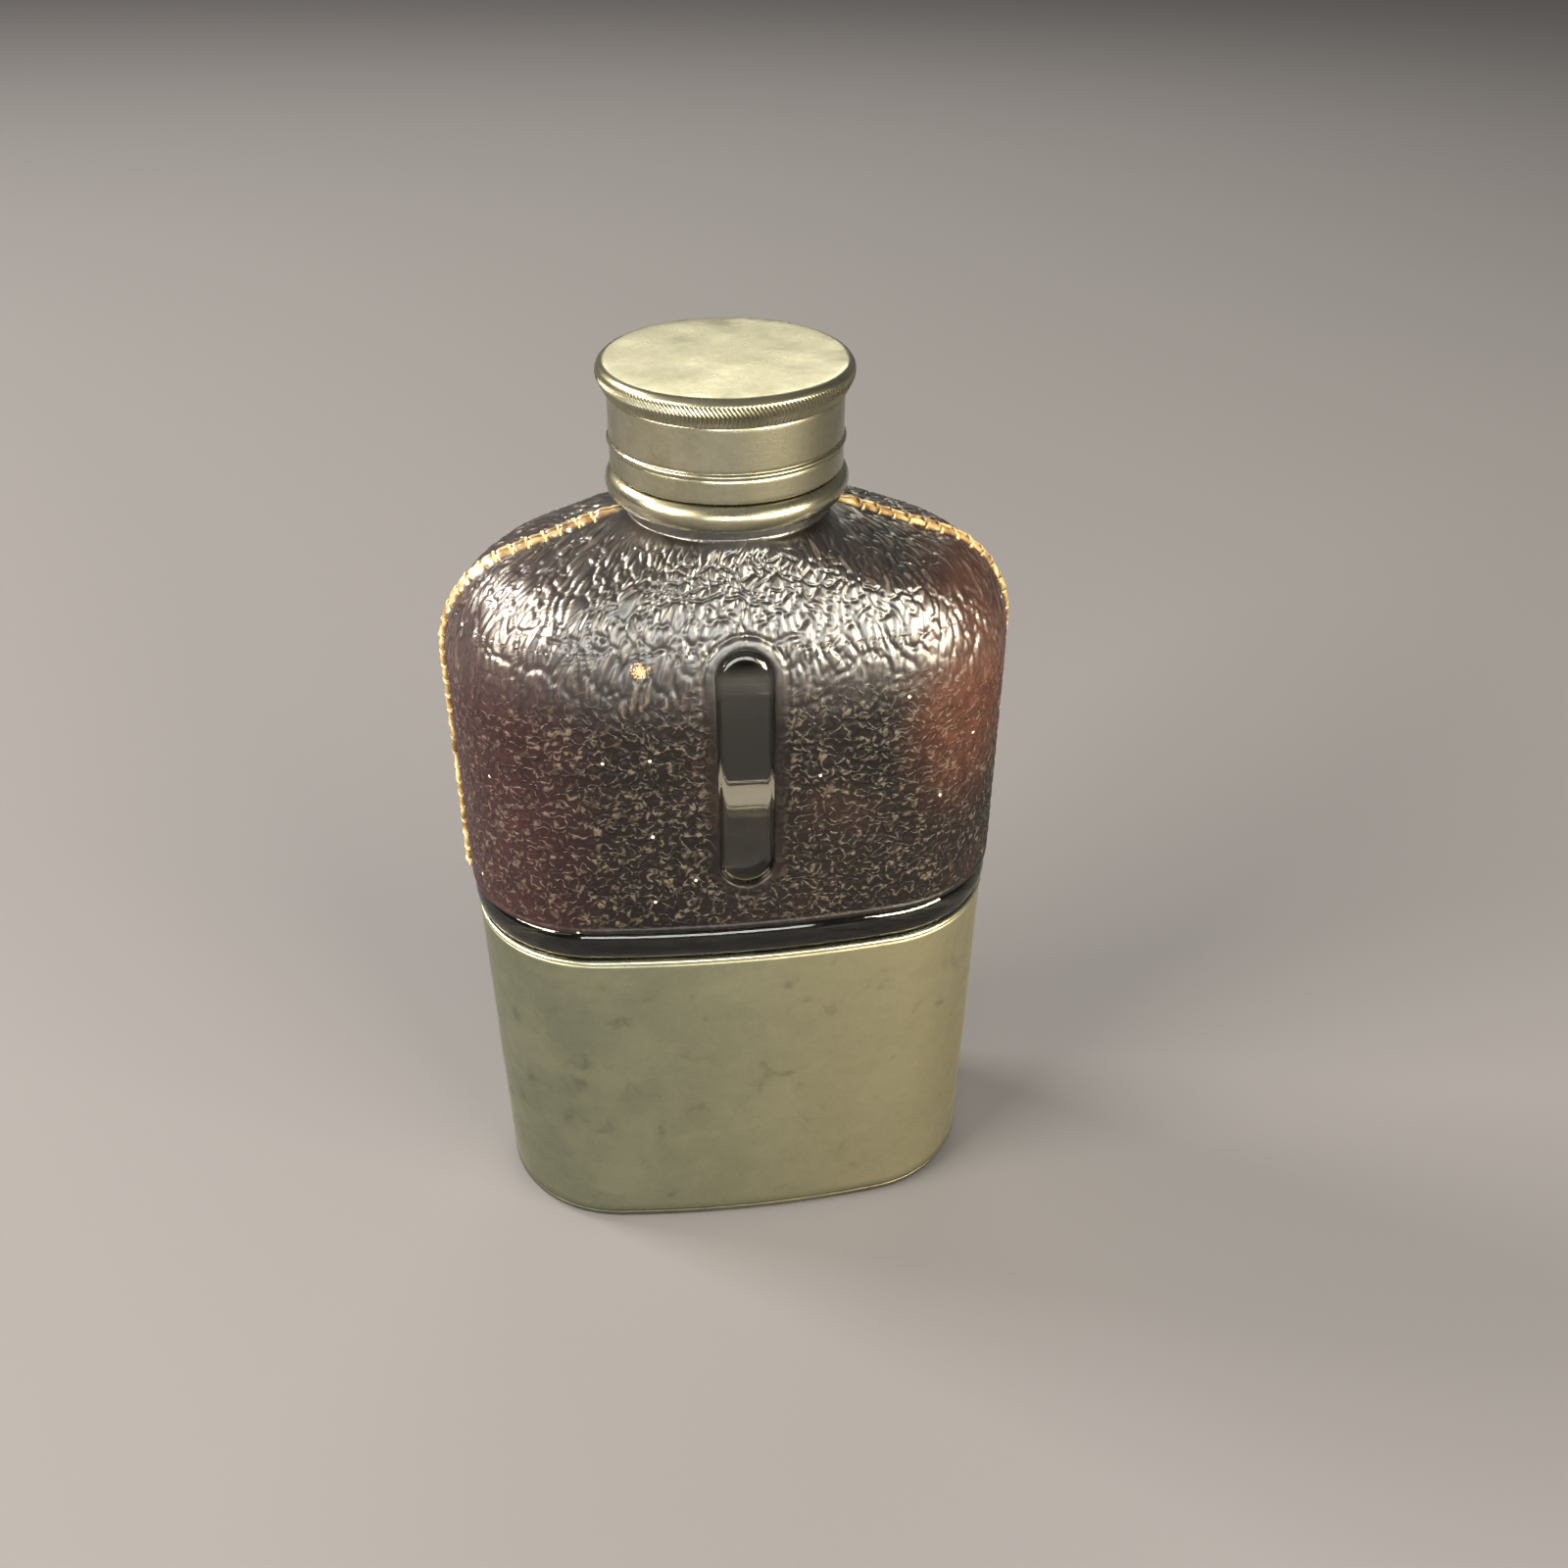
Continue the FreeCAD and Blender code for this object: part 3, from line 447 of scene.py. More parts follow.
def seam_profile(from_seam, length, z):
    """The turned-out edge: half an ellipse across with a slit at its middle, pinched where
    each stitch crosses it, uneven along it, and fading out where the seam ends."""
    stitch = (length / STITCH_PITCH) % 1 - 0.5
    pinch = 1 - 0.3 * np.exp(-((stitch / 0.16) ** 2))
    ragged = 1 + 0.5 * (clouds(length / 0.75, from_seam / 0.9, 70) - 0.6)
    wide = SEAM_HALF_WIDTH * (1 + 0.25 * (clouds(length / 0.9, from_seam * 0, 71) - 0.7))
    fade = 1 - smooth(110.5, 111.3, z)
    share = np.clip(from_seam / wide, 0, 1)
    slit = 1 - 0.85 * np.exp(-((from_seam / 0.3) ** 2))
    uneven = np.clip(pinch * ragged * slit, 0, 1)
    return SEAM_HEIGHT * uneven * fade * np.sqrt(1 - share**2) ** 0.8


def outward(z, angle):
    """Unit normal of the leather's face where its plan normal has that angle: the angle's
    cosine and sine, and minus the growth with height of the oval's distance that way."""
    def distance(height):
        half_width, half_depth = body_oval(height, 0)
        end_radius, flat_radius, end_centre = oval_arcs(half_width, half_depth)
        by_end = end_centre * np.cos(angle) + end_radius
        by_flat = flat_radius + (half_depth - flat_radius) * np.sin(angle)
        return np.where(angle < math.pi / 2 - FLAT_ANGLE, by_end, by_flat)

    small = 0.05
    growth = (distance(z + small) - distance(z - small)) / (2 * small)
    normal = np.stack([np.cos(angle), np.sin(angle), -growth], -1)
    return normal / np.linalg.norm(normal, axis=-1, keepdims=True)


def slot_half(z, slotted):
    """Half width of the sight slot at height z, which is 0 above and below it."""
    middle, straight = (SLOT_LOW_Z + SLOT_HIGH_Z) / 2, (SLOT_HIGH_Z - SLOT_LOW_Z) / 2
    beyond = np.clip(np.abs(z - middle) - straight + SLOT_HALF_WIDTH, 0, None)
    return np.sqrt(np.clip(SLOT_HALF_WIDTH**2 - beyond**2, 0, None)) * slotted


def gap_kept(points, middle, opening):
    """Which cells of a panel's grid are kept: all but those across the open slot."""
    keep = np.ones((points.shape[0] - 1, points.shape[1] - 1), bool)
    keep[:, middle - 1] = ~(opening[1:] | opening[:-1])
    return keep


# how far in the four outermost rows and columns fold: mm at the lower and upper edges,
# shares at the seam, mm at the slot
LOW_FOLD, HIGH_FOLD = [1.1, 0.8, 0.5, 0.2], [0.1, 0.3, 0.55, 0.8]
SEAM_FOLD, SLOT_FOLD = np.array([1.0, 0.7, 0.4, 0.15]), np.array([0.15, 0.35, 0.55, 0.8])
FLESH_DEPTH = 1.15
OPEN = 0.001


def panel_grid(slotted):
    """Half a panel: its face's heights, all rows' heights, the quarter oval's length and the
    slot's half width at each, and walks round the oval from the seam to the slot's border.
    Columns crowd towards both, by a power of their share."""
    face_z = leather_rows(slotted)
    z = np.concatenate([np.full(4, BOTTOM_Z), face_z, np.full(4, face_z[-1])])[:, None]
    half_width, half_depth = body_oval(z, 0)
    quarter = quarter_length(half_width, half_depth)
    _, flat_radius, _ = oval_arcs(half_width, half_depth)
    slot_x = slot_half(z, slotted)
    border = quarter - flat_radius * np.arcsin(slot_x / flat_radius)
    seam_side = 0.03 + 1.7 * np.linspace(0, 1, 15) ** 1.3
    slot_side = 0.6 * np.linspace(1, 0, 7) ** 1.7
    count = int(quarter[0, 0] / GRAIN_STEP) - 14
    between = np.linspace(seam_side[-1], border - slot_side[0], count)[1:-1, :, 0].T
    face = np.concatenate([seam_side + 0 * border, between, border - slot_side], 1)
    walk = np.concatenate([face[:, :1] + 0 * SEAM_FOLD, face, face[:, -1:] + 0 * SLOT_FOLD], 1)
    return face_z, z, quarter, slot_x, walk


def flesh_panel(name, flesh, face_z, slotted):
    """The inner face, from both halves of its points: every third row and fourth column,
    and the last ones, with one shared middle column where there is no slot."""
    half_columns = flesh.shape[1] // 2
    rows = np.unique(np.append(np.arange(0, len(face_z), 3), len(face_z) - 1))
    picked = np.unique(np.append(np.arange(0, half_columns, 4), half_columns - 1))
    columns = np.concatenate([picked, 2 * half_columns - 1 - picked[::-1]])
    flesh = flesh[rows][:, columns[::-1]]
    middle = len(picked)
    beside = slice(middle - 1, middle + 1)
    opening = slot_half(face_z[rows], slotted) > OPEN
    shared = 0.5 * (flesh[:, middle - 1] + flesh[:, middle])[:, None]
    flesh[:, beside] = np.where(opening[:, None, None], flesh[:, beside], shared)
    return skin(name, flesh, wrap_columns=False, keep=gap_kept(flesh, middle, opening))


def leather_panel(name, slotted, seed):
    """One panel as a grid. Columns walk round the oval from a seam to the slot's border,
    and on from its other border to the other seam; rows climb the outline. The last few
    of each fold in through the hide, to show its cut edge."""
    face_z, z, quarter, slot_x, walk = panel_grid(slotted)
    x, y, angle = quarter_point(*body_oval(z, 0), walk)
    normal = outward(z, angle)
    outside_slot = slot_distance(x, z) if slotted else np.full(x.shape, 9.0)
    length = outline_length(z) + 0 * x
    ridge = seam_profile(walk, length, z)
    deep = np.zeros(x.shape)
    deep[:, :4] = SEAM_FOLD * (ridge[:, :1] + 1.1)
    deep[:, -4:] = SLOT_FOLD * (slot_x > OPEN)
    deep = np.maximum(deep, np.concatenate([LOW_FOLD, 0 * face_z, HIGH_FOLD])[:, None])
    stretch = 0.5 + 0.5 * quarter / quarter[0]
    plain = np.minimum(smooth(0.8, 2.4, outside_slot), smooth(0.6, 1.9, z - BOTTOM_Z))
    plain = np.minimum(plain, smooth(LEATHER_TOP_Z - 1.6, LEATHER_TOP_Z - 3.2, z))
    plain = 0.12 + 0.88 * np.minimum(plain, smooth(0.7, 2.4, walk))
    tooled = 0.24 * np.exp(-(((outside_slot - 1.7) / 0.24) ** 2))
    crease = 0.3 * np.exp(-(((z - BOTTOM_Z - 1.15) / 0.26) ** 2))
    edges = 0.35 * (1 - dome(outside_slot / 0.4)) + 0.3 * (1 - dome((z - BOTTOM_Z) / 0.45))
    shoulder = smooth(88, 101, z + 0 * x)
    points, grain, on_hide, flesh = [], [], [], []
    for side in (-1, 1):
        across = side * (quarter - walk) / stretch
        relief = hide_relief(across, length, z, seed) * plain
        rise = relief + ridge - tooled - crease - edges - deep
        base = np.stack([side * x, -y, z + 0 * x], -1)
        points.append((base + normal * rise[..., None] * [side, -1, 1])[:, ::-side])
        on_hide.append(np.stack([across + 100, length, shoulder], -1)[:, ::-side])
        flesh.append((base - normal * [side, -1, 1] * FLESH_DEPTH)[4:-4, 4:-4][:, ::-side])
        grain.append(np.clip(0.5 + relief / 0.25, 0, 1)[:, ::-side])
    points, flesh = np.concatenate(points, 1), np.concatenate(flesh, 1)
    middle = x.shape[1]
    beside = slice(middle - 5, middle + 5)
    shared = 0.5 * (points[:, middle - 1] + points[:, middle])[:, None]
    points[:, beside] = np.where((slot_x < OPEN)[..., None], shared, points[:, beside])
    on_ridge = np.clip(ridge / SEAM_HEIGHT * 2.2, 0, 1)
    raw = on_ridge * smooth(1.45, 1.05, walk) * smooth(0.12, 0.42, walk)
    if not slotted:
        points, flesh = points * [-1, -1, 1], flesh * [-1, -1, 1]
    hide_face = skin(
        name + "_hide",
        points,
        wrap_columns=False,
        keep=gap_kept(points, middle, slot_x[:, 0] > OPEN),
        grain=np.concatenate(grain, 1),
        raw_edge=np.concatenate([raw, raw[:, ::-1]], 1),
        natural=np.concatenate([plain, plain[:, ::-1]], 1),
        on_hide=np.concatenate(on_hide, 1),
    )
    return hide_face, flesh_panel(name + "_flesh_side", flesh, face_z, slotted)


leather_pieces = {
    "leather_front": leather_panel("leather_front", True, 11),
    "leather_back": leather_panel("leather_back", False, 37),
}
for cad_node, faces in leather_pieces.items():
    for face in faces:
        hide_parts(cad_node)
        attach(face, "flask")

# Wax-finished calf, dyed near black: a glossy coat of wax where hands have polished it,
# browner where the dye has worn, purplish on the left, lighter along the raised grain lines as
# partly rubbed wear and partly painted highlight, and bare tan at the cut edges.
hide, tree, shader, place = finish_of(
    "waxed_calf_leather", IOR=1.34, Coat_Roughness=0.29, Coat_IOR=1.75
)
grain = add(tree, "Attribute", attribute_name="grain").outputs["Fac"]
raw_edge = add(tree, "Attribute", attribute_name="raw_edge").outputs["Fac"]
on_hide = add(tree, "Attribute", attribute_name="on_hide").outputs["Vector"]
shoulder = add(tree, "SeparateXYZ", {0: on_hide}).outputs["Z"]
# worm-like lines of the grain, where a bent noise crosses its middle value; places on the
# hide are in mm, so these are lines to the mm
GRAIN_LINE, CREASE_LINE = 0.62, 0.5
fine_place = add(tree, "Mapping", {0: on_hide, 3: [1.0, 1.0, 0.0]}).outputs[0]
long_place = add(tree, "Mapping", {0: on_hide, 3: [1.0, 0.22, 0.0]}).outputs[0]
line_kinds = [(fine_place, GRAIN_LINE, 1.0, 0.4, 0.085), (long_place, CREASE_LINE, 1.5, 0.6, 0.08)]
lines = []
for on_face, scale, detail, bend, width in line_kinds:
    sockets = {"Vector": on_face, "Scale": scale, "Detail": detail, "Distortion": bend}
    noise = add(tree, "TexNoise", sockets).outputs[0]
    off_middle = add(tree, "Math", {0: noise, 1: 0.5}, operation="SUBTRACT").outputs[0]
    apart = add(tree, "Math", {0: off_middle}, operation="ABSOLUTE").outputs[0]
    near_middle = add(
        tree, "MapRange", {0: apart, 1: width, 2: 0.0}, interpolation_type="SMOOTHSTEP"
    )
    lines.append(near_middle.outputs[0])
drawn = add(tree, "Mix", {0: shoulder, 2: lines[0], 3: lines[1]}).outputs[0]
natural = add(tree, "Attribute", attribute_name="natural").outputs["Fac"]
line = add(tree, "Math", {0: drawn, 1: natural}, operation="MULTIPLY").outputs[0]
DYE_PATCH, DYE_MOTTLE, PORE = 1 / (14 * MM), 1 / (2.2 * MM), 1 / (0.25 * MM)
patches = add(tree, "TexNoise", {"Vector": place, "Scale": DYE_PATCH, "Detail": 3.0}).outputs[0]
mottle = add(tree, "TexNoise", {"Vector": place, "Scale": DYE_MOTTLE, "Detail": 4.0}).outputs[0]
pores = add(tree, "TexNoise", {"Vector": place, "Scale": PORE, "Detail": 2.0}).outputs[0]
where = add(tree, "SeparateXYZ", {0: place}).outputs
dyed = add(
    tree, "ValToRGB", {0: patches}, stops=[(0.36, "#090606"), (0.55, "#110b0a"), (0.7, "#1e120e")]
).outputs[0]
to_left = {0: where["X"], 1: -14 * MM, 2: -34 * MM, 4: 1.3}
left_share = add(tree, "MapRange", to_left, interpolation_type="SMOOTHSTEP").outputs[0]
left_mottled = add(
    tree, "Math", {0: left_share, 1: mottle}, operation="MULTIPLY", use_clamp=True
).outputs[0]
purple = add(tree, "MixRGB", {0: left_mottled, 1: dyed, 2: linear("#2f171a")}).outputs[0]
# the worn spot is a ball about this place, drawn out up the hide
WORN_PLACE, WORN_DRAWN_OUT = [-29 * MM, 0, -45 * MM], [1.0, 0.3, 0.5]
squeezed = add(tree, "Mapping", {0: place, 1: WORN_PLACE, 3: WORN_DRAWN_OUT}).outputs[0]
from_worn = add(tree, "VectorMath", {0: squeezed}, operation="LENGTH").outputs["Value"]
to_worn = {0: from_worn, 1: 13 * MM, 2: 2 * MM, 4: 1.6}
worn = add(tree, "MapRange", to_worn, interpolation_type="SMOOTHSTEP").outputs[0]
worn_mottled = add(
    tree, "Math", {0: worn, 1: mottle}, operation="MULTIPLY", use_clamp=True
).outputs[0]
browned = add(tree, "MixRGB", {0: worn_mottled, 1: purple, 2: linear("#512d1f")}).outputs[0]
# the raised grain lines are painted lighter: partly rubbed wear, partly a painted highlight on the
# ridges
rub_and_sheen = add(tree, "MapRange", {0: mottle, 1: 0.36, 2: 0.6, 3: 0.1, 4: 0.5}).outputs[0]
high = add(tree, "MapRange", {0: grain, 1: 0.2, 2: 0.5}).outputs[0]
lit_rubbed_lines = add(tree, "Math", {0: line, 1: rub_and_sheen}, operation="MULTIPLY").outputs[0]
lit_rubbed_tops = add(tree, "Math", {0: lit_rubbed_lines, 1: high}, operation="MULTIPLY").outputs[0]
rubbed_and_sheened = add(tree, "MixRGB", {0: lit_rubbed_tops, 1: browned, 2: linear("#75695a")}).outputs[0]
# one cell in eight, 5.5 mm across, has a pale speck of dust; one chip shows raw hide
DUST = 1 / 5.5
dust = add(tree, "TexVoronoi", {"Vector": on_hide, "Scale": DUST}, voronoi_dimensions="2D")
dust_spot = add(tree, "MapRange", {0: dust.outputs["Distance"], 1: 0.045, 2: 0.028}).outputs[0]
dust_pick = add(tree, "SeparateXYZ", {0: dust.outputs["Color"]}).outputs["X"]
dusty = add(tree, "Math", {0: dust_pick, 1: 0.88}, operation="GREATER_THAN").outputs[0]
dust_seen = add(tree, "Math", {0: dust_spot, 1: dusty}, operation="MULTIPLY").outputs[0]
dusted = add(tree, "MixRGB", {0: dust_seen, 1: rubbed_and_sheened, 2: linear("#efe6d2")}).outputs[0]
SCUFF_PLACE = [-12.9 * MM, -18.2 * MM, 97.4 * MM]
from_scuff = add(tree, "VectorMath", {0: place, 1: SCUFF_PLACE}, operation="DISTANCE")
ragged_edge = {0: pores, 1: 3.6 * MM, 2: -1.0 * MM}
scuff_edge = add(tree, "Math", ragged_edge, operation="MULTIPLY_ADD").outputs[0]
within = {0: from_scuff.outputs["Value"], 1: scuff_edge}
scuff = add(tree, "Math", within, operation="LESS_THAN").outputs[0]
scuffed = add(tree, "MixRGB", {0: scuff, 1: dusted, 2: linear("#b08a60")}).outputs[0]
bare_hide = add(
    tree, "ValToRGB", {0: mottle}, stops=[(0.34, "#6e4e28"), (0.5, "#b8945a"), (0.66, "#e3cd96")]
).outputs[0]
to_right = {0: where["X"], 1: -20 * MM, 2: 20 * MM, 3: 0.6, 4: 1.0}
right_share = add(tree, "MapRange", to_right).outputs[0]
bare = add(tree, "Math", {0: raw_edge, 1: right_share}, operation="MULTIPLY").outputs[0]
colour = add(tree, "MixRGB", {0: bare, 1: scuffed, 2: bare_hide}).outputs[0]
tree.links.new(colour, shader.inputs["Base Color"])
shine = add(tree, "MapRange", {0: mottle, 1: 0.3, 2: 0.7, 3: 0.32, 4: 0.45}).outputs[0]
matt = add(tree, "Math", {0: shine, 1: bare}, operation="MAXIMUM").outputs[0]
tree.links.new(matt, shader.inputs["Roughness"])
# handling has polished the wax on the shoulders; lower down it is nearly gone
wax = add(tree, "MapRange", {0: shoulder, 3: 0.05, 4: 1.0}).outputs[0]
tree.links.new(wax, shader.inputs["Coat Weight"])
line_height = add(tree, "MapRange", {0: shoulder, 3: 1.0, 4: 0.12}).outputs[0]
drawn_height = add(tree, "Math", {0: line, 1: line_height}, operation="MULTIPLY").outputs[0]
pored = {0: pores, 1: 0.12, 2: drawn_height}
height = add(tree, "Math", pored, operation="MULTIPLY_ADD").outputs[0]
bump = add(tree, "Bump", {"Height": height, "Strength": 0.8, "Distance": 0.12 * MM})
tree.links.new(bump.outputs[0], shader.inputs["Normal"])

# The flesh side of the same hide: rough and matt, coloured near black as painted shade for
# the dim inside of the flask seen through the sight slot.
flesh_side, tree, shader, place = finish_of("glued_flesh_side", Roughness=0.9, IOR=1.5)
nap = add(tree, "TexNoise", {"Vector": place, "Scale": 1 / (0.6 * MM), "Detail": 5.0}).outputs[0]
# painted shade: the flesh side is coloured near black
painted_dark_nap = add(tree, "ValToRGB", {0: nap}, stops=[(0.35, "#0f0b09"), (0.7, "#1d1611")]).outputs[0]
tree.links.new(painted_dark_nap, shader.inputs["Base Color"])
for hide_face, flesh_face in leather_pieces.values():
    hide_face.data.materials.append(hide)
    flesh_face.data.materials.append(flesh_side)

# ------------------------------------------------------------------ seam stitching
# Waxed linen thread of two plies, whipped over the turned-out edges of both panels at
# 2.25 mm, from the leather's lower edge up to the neck. Each stitch dips in behind the edge.

YARN_RADIUS = 0.24
STITCH_OVER = 1.3
STITCH_RISE = 0.5
STITCH_SWEEP = math.radians(108)
STITCH_ROWS, YARN_SIDES = 19, 12
PLY_TWIST, PLY_DEPTH = 5.5, 0.17


def seam_frame(length):
    """Point, outward and upward directions of the right seam's line at a distance up it:
    upright, then round the shoulder's arc, then straight up the slope."""
    upright = SHOULDER_Z - BOTTOM_Z
    turn = np.clip((length - upright) / SHOULDER_RADIUS, 0, math.pi / 2 - SHOULDER_SLOPE)
    out = np.stack([np.cos(turn), 0 * turn, np.sin(turn)], -1)
    up = np.stack([-np.sin(turn), 0 * turn, np.cos(turn)], -1)
    centre = np.array([BODY_HALF_WIDTH - SHOULDER_RADIUS, 0, SHOULDER_Z])
    before = np.clip(length - upright, None, 0)
    after = np.clip(length - upright - SHOULDER_RADIUS * (math.pi / 2 - SHOULDER_SLOPE), 0, None)
    return centre + SHOULDER_RADIUS * out + up * (before + after)[..., None], out, up


def stitches(name, side, seed):
    """Bars of twisted yarn, stacked as rows of one grid. Each bar's line is an arch over
    the seam, rise times the cosine out and reach times the sine across; its section is a
    circle with two lobes that turn along it."""
    slope_length = (ARC_END_X - SEAM_TOP_X) / math.cos(SHOULDER_SLOPE)
    seam_length = float(outline_length(np.array(ARC_END_Z))) + slope_length
    count = int(seam_length / STITCH_PITCH)
    rng = np.random.default_rng(seed)
    along = (np.arange(count) + 0.5) * STITCH_PITCH + rng.normal(0, 0.07, count)
    point, out, up = (part[:, None, None] for part in seam_frame(along))
    arch = np.linspace(-1, 1, STITCH_ROWS)[None, :, None] * STITCH_SWEEP
    lean = (0.32 + rng.normal(0, 0.1, count))[:, None, None]
    rise = (STITCH_RISE + rng.normal(0, 0.04, count))[:, None, None]
    across = np.array([0.0, 1.0, 0.0])
    line = point + out * (rise * np.cos(arch))[..., None]
    line = line + across * (STITCH_OVER * np.sin(arch))[..., None]
    line = line + up * (lean * np.sin(arch))[..., None]
    tangent = np.gradient(line, axis=1)
    tangent /= np.linalg.norm(tangent, axis=-1, keepdims=True)
    beside = np.cross(tangent, np.broadcast_to(up, tangent.shape))
    beside /= np.linalg.norm(beside, axis=-1, keepdims=True)
    other = np.cross(tangent, beside)
    around = np.linspace(0, 2 * math.pi, YARN_SIDES, endpoint=False)
    lobes = np.cos(2 * around - PLY_TWIST * arch)
    radius = (YARN_RADIUS * (1 + PLY_DEPTH * lobes))[..., None]
    spokes = beside * np.cos(around)[:, None] + other * np.sin(around)[:, None]
    bars = line + radius * spokes
    starts = np.broadcast_to(line[:, :1], bars[:, :1].shape)
    ends = np.broadcast_to(line[:, -1:], bars[:, :1].shape)
    grid = np.concatenate([starts, bars, ends], 1).reshape(-1, YARN_SIDES, 3)
    ply = np.broadcast_to(lobes, (count, STITCH_ROWS, YARN_SIDES))
    pole = np.zeros((count, 1, YARN_SIDES))
    ply = np.concatenate([pole, ply, pole], 1).reshape(-1, YARN_SIDES)
    if side < 0:
        grid = grid * [-1, -1, 1]
    return skin(name, grid, ply=ply)


thread_pieces = [
    (stitches("seam_stitches_left", -1, 5), "seam_thread_left"),
    (stitches("seam_stitches_right", 1, 6), "seam_thread_right"),
]

# Waxed linen yarn, two-ply: unbleached flax with painted shade darkening the grooves between
# the plies, matt, with a little fuzz that catches light as sheen.
linen, tree, shader, place = finish_of("waxed_linen_thread", Roughness=0.8, IOR=1.5)
shader.inputs["Sheen Weight"].default_value = 0.3
ply = add(tree, "Attribute", attribute_name="ply").outputs["Fac"]
SOILING, FIBRE = 1 / (6 * MM), 1 / (0.12 * MM)
soil = add(tree, "TexNoise", {"Vector": place, "Scale": SOILING, "Detail": 5.0}).outputs[0]
# painted shade: the yarn is coloured darker in the grooves between its two plies
ply_groove_shade = add(tree, "MapRange", {0: ply, 1: -1.0, 2: 0.6, 3: -0.22, 4: 0.1}).outputs[0]
tone = add(tree, "Math", {0: soil, 1: ply_groove_shade}, operation="ADD").outputs[0]
yarn = add(
    tree, "ValToRGB", {0: tone}, stops=[(0.25, "#4f3c22"), (0.45, "#a3844f"), (0.62, "#d6bd85")]
).outputs[0]
tree.links.new(yarn, shader.inputs["Base Color"])
fibres = add(tree, "TexNoise", {"Vector": place, "Scale": FIBRE, "Detail": 2.0}).outputs[0]
bump = add(tree, "Bump", {"Height": fibres, "Strength": 0.5, "Distance": 0.05 * MM})
tree.links.new(bump.outputs[0], shader.inputs["Normal"])
for piece, cad_node in thread_pieces:
    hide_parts(cad_node)
    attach(piece, "flask")
    piece.data.materials.append(linen)

# ------------------------------------------------------------------ cement in the collar
# Plaster of Paris poured between the glass neck and the metal collar holds the collar on.
# It shows only as a pale ring round the mouth when the cap is off.

plaster, tree, shader, place = finish_of("plaster_cement", Roughness=0.9, IOR=1.52)
LUMP = 1 / (0.9 * MM)
lumps = add(tree, "TexNoise", {"Vector": place, "Scale": LUMP, "Detail": 5.0}).outputs[0]
chalky = add(
    tree, "ValToRGB", {0: lumps}, stops=[(0.3, "#8f8571"), (0.55, "#bdb29b"), (0.75, "#d6ccb8")]
).outputs[0]
tree.links.new(chalky, shader.inputs["Base Color"])
bump = add(tree, "Bump", {"Height": lumps, "Strength": 0.6, "Distance": 0.15 * MM})
tree.links.new(bump.outputs[0], shader.inputs["Normal"])


def refinish(cad_node, material):
    """Puts a material on a CAD node whose own shape stays."""
    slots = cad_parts[cad_node].data.materials
    slots.clear()
    slots.append(material)


refinish("neck_cement", plaster)

# ------------------------------------------------------------------ neck collar
# A collar spun from brass sheet and plated with nickel: a hollow round bead that hides the
# joint with the leather, and above it a rolled screw thread of 3 mm pitch for the cap.

THREAD_PITCH, THREAD_HEIGHT = 3.0, 0.65
RIDGE_HALF_WIDTH, RIDGE_SIDES = 0.62, 14
MALE_ROOT, MALE_LOW_Z, MALE_RISE = 12.0, 118.0, 4.2
collar_low, collar_high = (np.array(corner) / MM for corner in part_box("neck_collar"))


def rounded(corners, step=0.12):
    """A closed outline through corners (across, up, radius), each turned with an arc that
    is tangent to both its sides, as an array of points."""
    points = []
    for number, (across, up, radius) in enumerate(corners):
        corner = np.array([across, up])
        before = np.array(corners[number - 1][:2]) - corner
        after = np.array(corners[(number + 1) % len(corners)][:2]) - corner
        before, after = before / np.linalg.norm(before), after / np.linalg.norm(after)
        half_turn = (math.pi - math.acos(np.clip(before @ after, -1, 1))) / 2
        if radius == 0 or half_turn < 1e-3:
            points.append(corner[None])
            continue
        reach = radius * math.tan(half_turn)
        inward = (before + after) / np.linalg.norm(before + after)
        centre = corner + inward * radius / math.cos(half_turn)
        first, last = corner + before * reach - centre, corner + after * reach - centre
        count = max(3, int(2 * half_turn * radius / step) + 2)
        share = np.linspace(0, 1, count)[:, None]
        turn = 2 * half_turn
        arc = (np.sin((1 - share) * turn) * first + np.sin(share * turn) * last) / math.sin(turn)
        points.append(centre + arc)
    return np.concatenate(points)


def filled(outline, step):
    """The outline with more points along its long sides, at most a step apart."""
    sides = np.diff(np.vstack([outline, outline[:1]]), axis=0)
    counts = np.maximum(1, np.ceil(np.hypot(*sides.T) / step)).astype(int)
    shares = np.concatenate([np.arange(count) / count for count in counts])[:, None]
    return np.repeat(outline, counts, axis=0) + np.repeat(sides, counts, axis=0) * shares


def lathe(name, outline, segments, step=0.5, **attributes):
    """The closed outline (radius, height) carried once round the neck's axis; outlines run
    up the outside, so that faces point outwards."""
    outline = filled(outline, step)
    angle = np.linspace(0, 2 * math.pi, segments, endpoint=False)
    radius, z = outline[:, :1], outline[:, 1:] + 0 * angle
    points = np.stack([radius * np.cos(angle), radius * np.sin(angle), z], -1)
    return skin(name, points, wrap_rows=True, **attributes)


BEAD_CENTRE_R, BEAD_RADIUS, BEAD_Z = 13.35, 1.95, 115.0
COLLAR_BORE = 10.95
bead_turn = np.radians(np.linspace(-118, 128, 46))
bead_r = BEAD_CENTRE_R + BEAD_RADIUS * np.cos(bead_turn)
bead = np.stack([bead_r, BEAD_Z + BEAD_RADIUS * np.sin(bead_turn)], 1)
collar_top = rounded(
    [
        (MALE_ROOT, BEAD_Z + 2.1, 0.3),
        (MALE_ROOT, collar_high[2], 0.25),
        (COLLAR_BORE, collar_high[2], 0.2),
        (COLLAR_BORE, collar_low[2] + 0.02, 0),
        (bead[0, 0], collar_low[2] + 0.02, 0),
    ]
)
collar = lathe("neck_collar_spun", np.concatenate([bead, collar_top]), 220)


